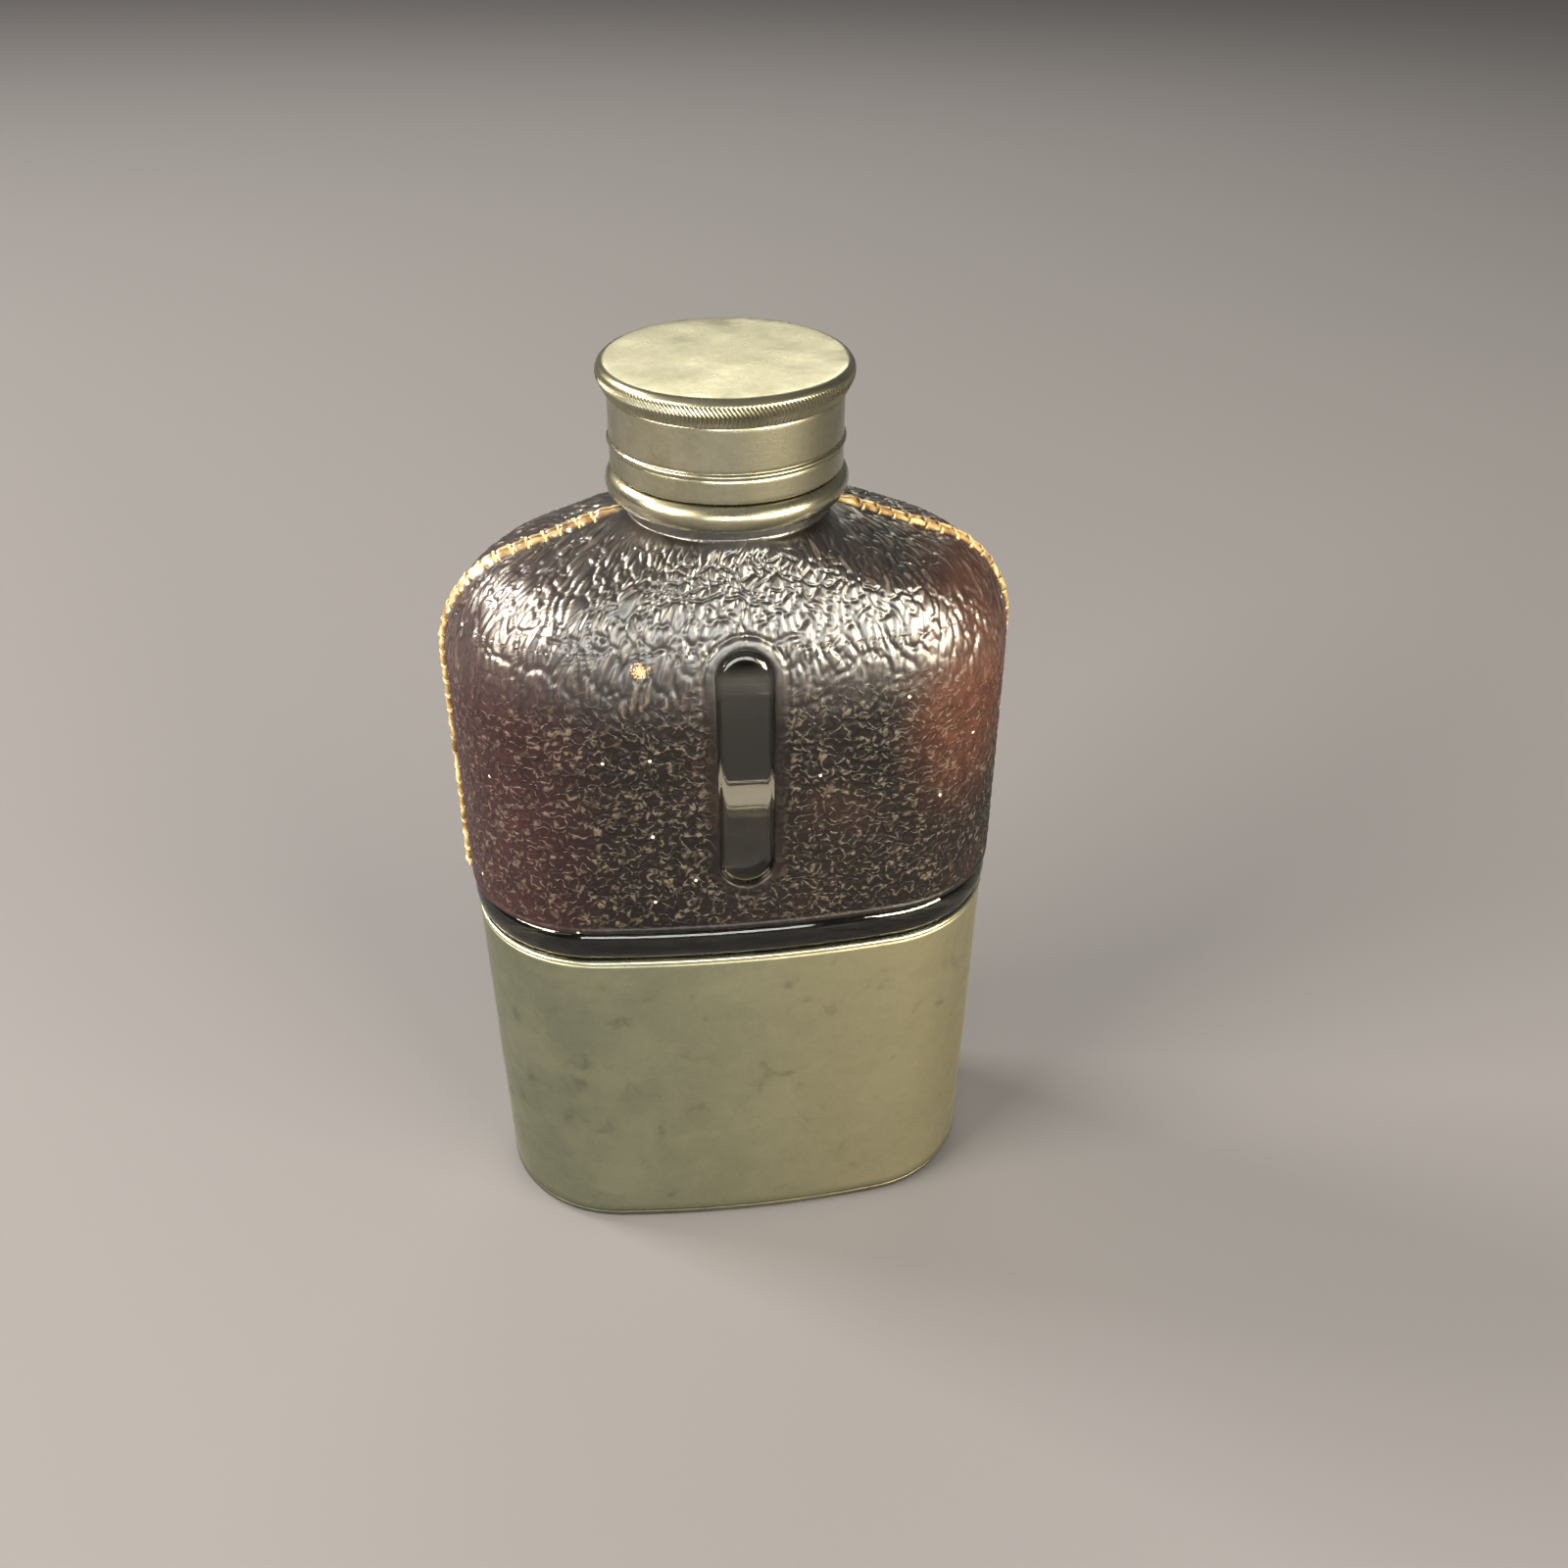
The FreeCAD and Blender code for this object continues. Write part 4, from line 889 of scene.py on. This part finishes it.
def thread_ridge(name, root, z, rise, out):
    """A screw ridge: a rounded section carried up a helix, its height fading at both ends
    by a cubic; out is 1 on the outside of a sleeve."""
    turns = rise / THREAD_PITCH
    angle = np.linspace(0, 2 * math.pi * turns, int(150 * turns))[:, None]
    fade = smooth(0, 0.5, angle) * smooth(2 * math.pi * turns, 2 * math.pi * turns - 0.5, angle)
    section = np.linspace(0, 2 * math.pi, RIDGE_SIDES, endpoint=False)[None]
    proud = THREAD_HEIGHT * fade * np.clip(np.sin(section), -0.25, 1)
    radius = root + out * proud
    height = z + THREAD_PITCH * angle / 2 / math.pi + RIDGE_HALF_WIDTH * np.cos(section)
    points = np.stack([radius * np.cos(angle), radius * np.sin(angle), height], -1)
    starts = np.broadcast_to(points[:1].mean(1, keepdims=True), (1, RIDGE_SIDES, 3))
    ends = np.broadcast_to(points[-1:].mean(1, keepdims=True), (1, RIDGE_SIDES, 3))
    return skin(name, np.concatenate([starts, points, ends]))


collar_thread = thread_ridge("neck_collar_thread", MALE_ROOT, MALE_LOW_Z + 0.7, MALE_RISE - 1.4, 1)


TARNISH, FINE_TARNISH, RUB_MARK, PIT = (1 / (size * MM) for size in (7, 0.8, 1.5, 2.6))


def worn_plate(name, dark, middle, light, roughness, brush):
    """Nickel plate, handled for a century: a yellowish grey metal, cloudy with tarnish in
    patches, with fine rubbing marks round the axis and small pits."""
    material, tree, shader, place = finish_of(name, Metallic=1.0)
    cloud = add(tree, "TexNoise", {"Vector": place, "Scale": TARNISH, "Detail": 6.0}).outputs[0]
    fine_sockets = {"Vector": place, "Scale": FINE_TARNISH, "Detail": 4.0}
    fine = add(tree, "TexNoise", fine_sockets).outputs[0]
    both = add(tree, "Math", {0: fine, 1: 0.25, 2: cloud}, operation="MULTIPLY_ADD").outputs[0]
    stops = [(0.42, dark), (0.62, middle), (0.82, light)]
    tone = add(tree, "ValToRGB", {0: both}, stops=stops).outputs[0]
    tree.links.new(tone, shader.inputs["Base Color"])
    duller = {0: both, 1: 0.4, 2: 0.85, 3: roughness + 0.1, 4: roughness - 0.08}
    tree.links.new(add(tree, "MapRange", duller).outputs[0], shader.inputs["Roughness"])
    stretched = add(tree, "Mapping", {0: place, 3: brush}).outputs[0]
    mark_sockets = {"Vector": stretched, "Scale": RUB_MARK, "Detail": 4.0}
    marks = add(tree, "TexNoise", mark_sockets).outputs[0]
    pits = add(tree, "TexVoronoi", {"Vector": place, "Scale": PIT}).outputs["Distance"]
    pit = add(tree, "MapRange", {0: pits, 1: 0.02, 2: 0.1, 3: -1.0, 4: 0.0}).outputs[0]
    height = add(tree, "Math", {0: marks, 1: pit}, operation="ADD").outputs[0]
    bump = add(tree, "Bump", {"Height": height, "Strength": 0.3, "Distance": 0.05 * MM})
    tree.links.new(bump.outputs[0], shader.inputs["Normal"])
    return material


ROUND_THE_AXIS = [1.0, 1.0, 9.0]
cap_plate = worn_plate("worn_nickel_plate", "#817e6b", "#98947f", "#b0ac97", 0.27, ROUND_THE_AXIS)
for piece in (collar, collar_thread):
    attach(piece, "flask")
    piece.data.materials.append(cap_plate)
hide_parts("neck_collar")

# ------------------------------------------------------------------ cork and its backing
# A disc of natural cork, punched from bark, seals the mouth. A tinned disc backs it, with
# a rivet that hangs loose in the cap's inner plate, so the cork doesn't grind as it turns.

cork_low, cork_high = (np.array(corner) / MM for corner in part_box("cork_disc"))
CORK_RADIUS = cork_high[0]
PITTED_BELOW_Z, PIT_DEPTH = 124.6, 0.22
cork_outline = rounded(
    [
        (0.0, cork_low[2], 0),
        (CORK_RADIUS, cork_low[2], 0.3),
        (CORK_RADIUS, cork_high[2], 0.15),
        (0.0, cork_high[2], 0),
    ]
)
cork_outline = filled(cork_outline[:-1], 0.25)
cork_angle = np.linspace(0, 2 * math.pi, 180, endpoint=False)
cork_r, cork_z = cork_outline[:, :1], cork_outline[:, 1:] + 0 * cork_angle
cork_x, cork_y = cork_r * np.cos(cork_angle), cork_r * np.sin(cork_angle)
near, _ = cells(cork_x / 1.7 + cork_z, cork_y / 1.1 + 2 * cork_z, 91)
lenticels = smooth(0.3, 0.12, near) * smooth(0.2, 1.5, cork_r)
# the pits go up into the underside and in at the edge
pit_rise = PIT_DEPTH * lenticels * (cork_z < PITTED_BELOW_Z)
pit_in = 0.018 * (lenticels * (cork_r > CORK_RADIUS - 0.2))
cork_points = np.stack([cork_x, cork_y, cork_z + pit_rise], -1)
cork_points[..., :2] *= 1 - pit_in[..., None]
cork = skin("cork_disc_punched", cork_points, pit=lenticels)
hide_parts("cork_disc")
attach(cork, "cork_liner")

# Natural cork: pale brown cells with darker growth lines and dark brown lenticels, dry
# and matt, stained where drink has wetted it.
bark, tree, shader, place = finish_of("natural_cork", Roughness=0.85, IOR=1.45)
pit = add(tree, "Attribute", attribute_name="pit").outputs["Fac"]
CORK_CELL, GROWTH = 1 / (0.5 * MM), 1 / (5 * MM)
cell = add(tree, "TexVoronoi", {"Vector": place, "Scale": CORK_CELL}).outputs["Distance"]
growth = add(tree, "TexNoise", {"Vector": place, "Scale": GROWTH, "Detail": 6.0}).outputs[0]
mixed = add(tree, "Math", {0: cell, 1: 0.2, 2: growth}, operation="MULTIPLY_ADD").outputs[0]
brown = add(
    tree, "ValToRGB", {0: mixed}, stops=[(0.4, "#7a5433"), (0.6, "#a97c50"), (0.85, "#c79c6b")]
).outputs[0]
pitted = add(tree, "MixRGB", {0: pit, 1: brown, 2: linear("#3d2616")}).outputs[0]
tree.links.new(pitted, shader.inputs["Base Color"])
bump = add(tree, "Bump", {"Height": cell, "Strength": 0.5, "Distance": 0.08 * MM})
tree.links.new(bump.outputs[0], shader.inputs["Normal"])
cork.data.materials.append(bark)

tinned = worn_plate("tinned_brass_sheet", "#8c8877", "#aaa694", "#c9c5b3", 0.38, [1.0, 1.0, 1.0])
refinish("cork_backing", tinned)

# ------------------------------------------------------------------ screw cap
# The cap is built up of a rolled skirt with one thin bead, a threaded ring soldered inside
# it, a plate that holds the cork's rivet, and a top disc pressed with a milled edge.

for cad_node in ("cap_thread_ring", "cap_inner_plate"):
    refinish(cad_node, cap_plate)

skirt_low, skirt_high = (np.array(corner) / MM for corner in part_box("cap_skirt"))
SKIRT_RADIUS, SKIRT_BORE = 14.6, 13.7
SKIRT_BEAD_Z, SKIRT_BEAD_PROUD, SKIRT_BEAD_HALF = 120.4, 0.28, 0.36
PLAIN_BELOW_Z, PLAIN_ABOVE_Z = 119.2, 121.6
bead_rows = np.linspace(-1, 1, 17)
bead_out = SKIRT_RADIUS - 0.1 + (SKIRT_BEAD_PROUD + 0.1) * np.sqrt(1 - bead_rows**2)
skirt_bead = np.stack([bead_out, SKIRT_BEAD_Z + SKIRT_BEAD_HALF * bead_rows], 1)
skirt_foot = rounded(
    [
        (SKIRT_BORE, skirt_low[2], 0.15),
        (SKIRT_RADIUS, skirt_low[2] - 0.5, 0.2),
        (SKIRT_RADIUS, PLAIN_BELOW_Z, 0),
    ]
)[:-1]
skirt_top = rounded(
    [
        (SKIRT_RADIUS, PLAIN_ABOVE_Z, 0),
        (SKIRT_RADIUS, skirt_high[2], 0.15),
        (SKIRT_BORE, skirt_high[2], 0.15),
    ]
)
under_bead, over_bead = ([(SKIRT_RADIUS, SKIRT_BEAD_Z + step)] for step in (-0.5, 0.5))
skirt_outline = np.concatenate([skirt_foot, under_bead, skirt_bead, over_bead, skirt_top])
skirt = lathe("cap_skirt_rolled", skirt_outline, 240)
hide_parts("cap_skirt")

disc_low, disc_high = (np.array(corner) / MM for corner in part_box("cap_disc"))
DISC_RADIUS, DISC_BORE = disc_high[0], 13.6
MILLED_LINES, MILLED_DEPTH, MILLED_SLANT = 186, 0.34, 0.35
disc_outline = rounded(
    [
        (DISC_BORE, disc_low[2], 0.0),
        (14.85, disc_low[2], 0.5),
        (DISC_RADIUS, disc_low[2] + 1.9, 1.6),
        (DISC_RADIUS, disc_high[2], 1.3),
        (0.0, disc_high[2] + 0.05, 0),
        (0.0, disc_high[2] - 1.0, 0),
        (DISC_BORE, disc_high[2] - 1.2, 0.4),
    ],
    step=0.14,
)
cut = np.flatnonzero(disc_outline[:, 0] == 0)
disc_outline = np.roll(disc_outline, -cut[1], axis=0)
side_rows = filled(disc_outline, 1.2)
disc_angle = np.linspace(0, 2 * math.pi, MILLED_LINES * 7, endpoint=False)
disc_r, disc_z = side_rows[:, :1], side_rows[:, 1:] + 0 * disc_angle
# the milling is a cosine round the edge, slanted as it climbs, that fades at both ends
fade_in = smooth(disc_low[2] + 0.15, disc_low[2] + 0.5, disc_z)
fade_out = smooth(disc_low[2] + 3.0, disc_low[2] + 2.3, disc_z)
milled = fade_in * fade_out * (disc_r > DISC_RADIUS - 1.05)
slant = MILLED_SLANT * (disc_z - disc_low[2])
ridge_line = 0.5 + 0.5 * np.cos(MILLED_LINES * (disc_angle + slant * 0.13))
disc_r = disc_r - MILLED_DEPTH * milled * (1 - ridge_line) ** 1.3
hollows = clouds(disc_r * np.cos(disc_angle) / 4, disc_r * np.sin(disc_angle) / 4, 3) - 0.5
disc_z = disc_z + 0.05 * hollows * (side_rows[:, 1:] > disc_high[2] - 0.5)
disc_points = np.stack([disc_r * np.cos(disc_angle), disc_r * np.sin(disc_angle), disc_z], -1)
disc = skin("cap_disc_milled", disc_points)
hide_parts("cap_disc")
for piece in (skirt, disc):
    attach(piece, "cap")
    piece.data.materials.append(cap_plate)

# ------------------------------------------------------------------ drinking cup
# The cup is sheet metal: a tapered oval wall, a pressed base lapped up inside it, and a wire
# edge soldered round its mouth. A hundred years of pockets have dented and dulled it.


def dent(shares, z, place_share, place_z, across, tall, deep):
    """One shallow dent: depth times the Gaussian of the distance from its place, measured
    in its half sizes; places round the oval are in quarters from +X."""
    return deep * np.exp(-(((shares - place_share) / across) ** 2) - ((z - place_z) / tall) ** 2)


cup_shares = np.linspace(0, 4, 320, endpoint=False)
WALL = 0.65
# dents: place round the oval and height, half sizes of both, and depth
DENTS = [
    (2.62, 14, 0.16, 5, 0.16),
    (3.3, 30, 0.2, 9, 0.12),
    (2.25, 33, 0.12, 8, 0.15),
    (0.8, 22, 0.2, 8, 0.15),
    (3.62, 12, 0.1, 4, 0.12),
    (1.5, 30, 0.15, 6, 0.14),
]
wall_low, wall_high = cup_low[2], cup_high[2]
out_z = np.linspace(wall_low, wall_high, 110)
in_z = out_z[::-3]
wall_z = np.concatenate([out_z, in_z])
wall_in = np.concatenate([0 * out_z, 0 * in_z + WALL])
wall_x, wall_y = ring(*cup_oval(wall_z, wall_in), cup_shares)
z = wall_z[:, None] + 0 * cup_shares
dents = sum(dent(cup_shares, z, *sizes) for sizes in DENTS)
ripple = clouds(cup_shares * 12 % 48, z / 6, 21) + 0.5 * clouds(cup_shares * 30 % 120, z / 2.4, 22)
stiff_ends = smooth(wall_high, wall_high - 6, z) * smooth(wall_low, wall_low + 3, z)
pressed = (dents + 0.07 * (ripple - 0.75)) * stiff_ends
pressed_in = 1 - pressed / np.hypot(wall_x, wall_y)
wall_x, wall_y = wall_x * pressed_in, wall_y * pressed_in
cup_wall = skin("cup_wall_dented", np.stack([wall_x, wall_y, z], -1), wrap_rows=True)
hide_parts("cup_wall")

wire_turn = np.linspace(0, 2 * math.pi, 20, endpoint=False)
WIRE_PROUD, WIRE_MIDDLE_IN = 0.12, 0.33
wire_half = (rim_high[2] - rim_low[2]) / 2
wire_mid = (rim_high[2] + rim_low[2]) / 2
wire_in = WIRE_MIDDLE_IN - (WIRE_MIDDLE_IN + WIRE_PROUD) * np.cos(wire_turn)
wire_z = wire_mid + wire_half * np.sin(wire_turn)
wire_w, wire_d = cup_oval(wire_z * 0 + wall_high, wire_in)
wire_x, wire_y = ring(wire_w, wire_d, cup_shares)
wire_points = np.stack([wire_x, wire_y, wire_z[:, None] + 0 * cup_shares], -1)
cup_rim = skin("cup_rim_wire", wire_points, wrap_rows=True)
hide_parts("cup_rim")

base_low, base_high = (np.array(corner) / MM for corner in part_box("cup_base"))
BASE_ROUND, BASE_SHEET, LAP_SHEET = 1.7, 0.8, 0.5
INNER_ROUND = BASE_ROUND - 0.9
turn = np.linspace(0, math.pi / 2, 14)
inner_turn = turn[::2]
seam_z = wall_low - 0.02
# the lap, as insets and heights: over the wall's lower edge, up inside it and down again
lap = np.array(
    [
        (0, seam_z - 0.05),
        (0.05, seam_z),
        (WALL, seam_z),
        (WALL, base_high[2]),
        (WALL + LAP_SHEET, base_high[2]),
        (WALL + LAP_SHEET, base_low[2] + BASE_ROUND),
    ]
)
outer_in = BASE_ROUND * (1 - np.sin(turn))
outer_z = base_low[2] + BASE_ROUND * (1 - np.cos(turn))
floor_in = WALL + LAP_SHEET + INNER_ROUND * (1 - np.cos(inner_turn))
floor_z = base_low[2] + BASE_SHEET + (BASE_ROUND - BASE_SHEET) * (1 - np.sin(inner_turn))
base_in = np.concatenate([outer_in, lap[:, 0], floor_in])
base_z = np.concatenate([outer_z, lap[:, 1], floor_z])
base_x, base_y = ring(CUP_BASE_HALF[0] - base_in, CUP_BASE_HALF[1] - base_in, cup_shares)
base_points = np.stack([base_x, base_y, base_z[:, None] + 0 * cup_shares], -1)
shrink = np.linspace(0, 1, 8)[:, None, None]
under = base_points[:1] * (shrink * [1, 1, 0] + [0, 0, 1])
over = base_points[-1:] * (shrink[::-1] * [1, 1, 0] + [0, 0, 1])
cup_base = skin("cup_base_pressed", np.concatenate([under[:-1], base_points, over[1:]]))
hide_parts("cup_base")

# Silver plate gone dull on pewter: mottled olive grey with sooty smudges, darker and greener to
# the left and lighter and warmer to the right as painted shade and painted warm light, and darker
# towards the bottom of the base.
pewter, tree, shader, place = finish_of("tarnished_silver_plate", Metallic=1.0)
BLOOM, SMUDGE, SPECK = 1 / (13 * MM), 1 / (4 * MM), 1 / (0.7 * MM)
bloom_sockets = {"Vector": place, "Scale": BLOOM, "Detail": 4.0, "Distortion": 0.6}
smudge_sockets = {"Vector": place, "Scale": SMUDGE, "Detail": 6.0, "Distortion": 0.4}
bloom = add(tree, "TexNoise", bloom_sockets).outputs[0]
smudge = add(tree, "TexNoise", smudge_sockets).outputs[0]
speck = add(tree, "TexNoise", {"Vector": place, "Scale": SPECK, "Detail": 4.0}).outputs[0]
where = add(tree, "SeparateXYZ", {0: place}).outputs
half_tone = add(tree, "Math", {0: smudge, 1: 0.5, 2: bloom}, operation="MULTIPLY_ADD").outputs[0]
tone = add(tree, "Math", {0: speck, 1: 0.16, 2: half_tone}, operation="MULTIPLY_ADD").outputs[0]
# painted light and shade: darker and greener to the left, lighter and warmer to the right, where a
# warm light falls
shaded_left_silver = add(
    tree, "ValToRGB", {0: tone}, stops=[(0.55, "#6f7262"), (0.8, "#818471"), (1.0, "#95977f")]
).outputs[0]
lit_right_silver = add(
    tree, "ValToRGB", {0: tone}, stops=[(0.55, "#8a856a"), (0.8, "#9c967a"), (1.0, "#b0aa8b")]
).outputs[0]
to_right = {0: where["X"], 1: -30 * MM, 2: 34 * MM}
right_share = add(tree, "MapRange", to_right, interpolation_type="SMOOTHSTEP").outputs[0]
silver_lit_and_shaded = add(tree, "MixRGB", {0: right_share, 1: shaded_left_silver, 2: lit_right_silver}).outputs[0]
sooty = add(tree, "MapRange", {0: smudge, 1: 0.37, 2: 0.27, 4: 0.3}).outputs[0]
smudged = add(tree, "MixRGB", {0: sooty, 1: silver_lit_and_shaded, 2: linear("#3b3a31")}).outputs[0]
# darker towards the bottom of the base
low_down = add(tree, "MapRange", {0: where["Z"], 1: 3.5 * MM, 2: 0.4 * MM, 4: 1.5}).outputs[0]
low_darkening = add(tree, "Math", {0: low_down, 1: bloom}, operation="MULTIPLY", use_clamp=True).outputs[0]
darkened_low = add(tree, "MixRGB", {0: low_darkening, 1: smudged, 2: linear("#2f2a1e")}).outputs[0]
tree.links.new(darkened_low, shader.inputs["Base Color"])
dull = add(tree, "MapRange", {0: tone, 1: 0.55, 2: 1.0, 3: 0.56, 4: 0.4}).outputs[0]
tree.links.new(dull, shader.inputs["Roughness"])
relief = add(tree, "Math", {0: speck, 1: 0.3, 2: smudge}, operation="MULTIPLY_ADD").outputs[0]
bump = add(tree, "Bump", {"Height": relief, "Strength": 0.35, "Distance": 0.12 * MM})
tree.links.new(bump.outputs[0], shader.inputs["Normal"])
for piece in (cup_wall, cup_base):
    piece.data.materials.append(pewter)
rim_plate = worn_plate("rubbed_silver_wire", "#a8a48c", "#cdc9ae", "#e2dec4", 0.28, ROUND_THE_AXIS)
cup_rim.data.materials.append(rim_plate)
for piece in (cup_wall, cup_rim, cup_base):
    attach(piece, "cup")

# ------------------------------------------------------------------ floor, light and camera
# A plain pale floor under soft studio light: a key from behind on the left that falls along
# the shoulders, a broad sheet overhead and a wide one behind that the cap's top mirrors.

bpy.ops.mesh.primitive_plane_add(size=9.0, location=(0, 0, 0))
floor = bpy.context.object
floor.name = "studio_floor"
paper, *_ = finish_of("pale_paper", Base_Color=linear("#6c6b70"), Roughness=0.9)
floor.data.materials.append(paper)

bpy.context.scene.view_settings.view_transform = "Standard"
world = bpy.data.worlds.new("studio")
bpy.context.scene.world = world
world.use_nodes = True
background = world.node_tree.nodes["Background"]
background.inputs["Color"].default_value = linear("#e6e3de")
background.inputs["Strength"].default_value = 0.22

TARGET = np.array([7.53, 0.0, 67.26]) * MM


def bearing(azimuth, elevation):
    """Unit vector from the target to a bearing, 0 in front and 90 on the right, and a
    height above the floor, in radians: sine and minus cosine of the bearing times the
    elevation's cosine, and its sine."""
    level = math.cos(elevation)
    return np.array([math.sin(azimuth) * level, -math.cos(azimuth) * level, math.sin(elevation)])


def aim(thing, back, distance, roll):
    """Puts a lamp or camera at a distance along back from the target, looking at it: its
    own axes are right, up and back, turned by roll."""
    right = np.cross(-back, [0, 0, 1])
    right = right / np.linalg.norm(right)
    up = np.cross(right, -back)
    side = math.cos(roll) * right + math.sin(roll) * up
    over = math.cos(roll) * up - math.sin(roll) * right
    matrix = np.eye(4)
    matrix[:3] = np.stack([side, over, back, TARGET + back * distance], 1)
    thing.matrix_world = Matrix(matrix.tolist())
    bpy.context.scene.collection.objects.link(thing)


def softbox(name, azimuth, elevation, distance, width, height, power, colour):
    """A rectangular light aimed at the flask from a bearing and a height, in degrees, with
    its distance and sides in metres and its power in watts."""
    light = bpy.data.lights.new(name, "AREA")
    light.shape = "RECTANGLE"
    light.size, light.size_y, light.energy = width, height, power
    light.color = linear(colour)[:3]
    lamp = bpy.data.objects.new(name, light)
    aim(lamp, bearing(math.radians(azimuth), math.radians(elevation)), distance, 0.0)


softbox("key", -116, 36, 1.5, 0.45, 0.35, 27.0, "#fff6e6")
softbox("left", -66, 27, 0.9, 0.5, 0.3, 18.0, "#fff4de")
softbox("front", -6, 13, 0.9, 0.6, 0.22, 5.0, "#f8f8f2")
softbox("right", 42, 13, 0.9, 0.7, 0.25, 19.0, "#fff3d8")
softbox("overhead", 0, 80, 2.5, 3.0, 3.0, 7.0, "#fffcf6")
softbox("behind", 172, 34, 1.1, 0.7, 0.35, 4.0, "#fffae4")

camera = bpy.data.objects.new("camera", bpy.data.cameras.new("camera"))
camera.data.sensor_width, camera.data.lens = 36.0, 36.0
camera.data.clip_start, camera.data.clip_end = 0.01, 10.0
azimuth, elevation, roll = (math.radians(turn) for turn in (-8.04, 33.77, 0.43))
aim(camera, bearing(azimuth, elevation), 0.2248, roll)
bpy.context.scene.camera = camera
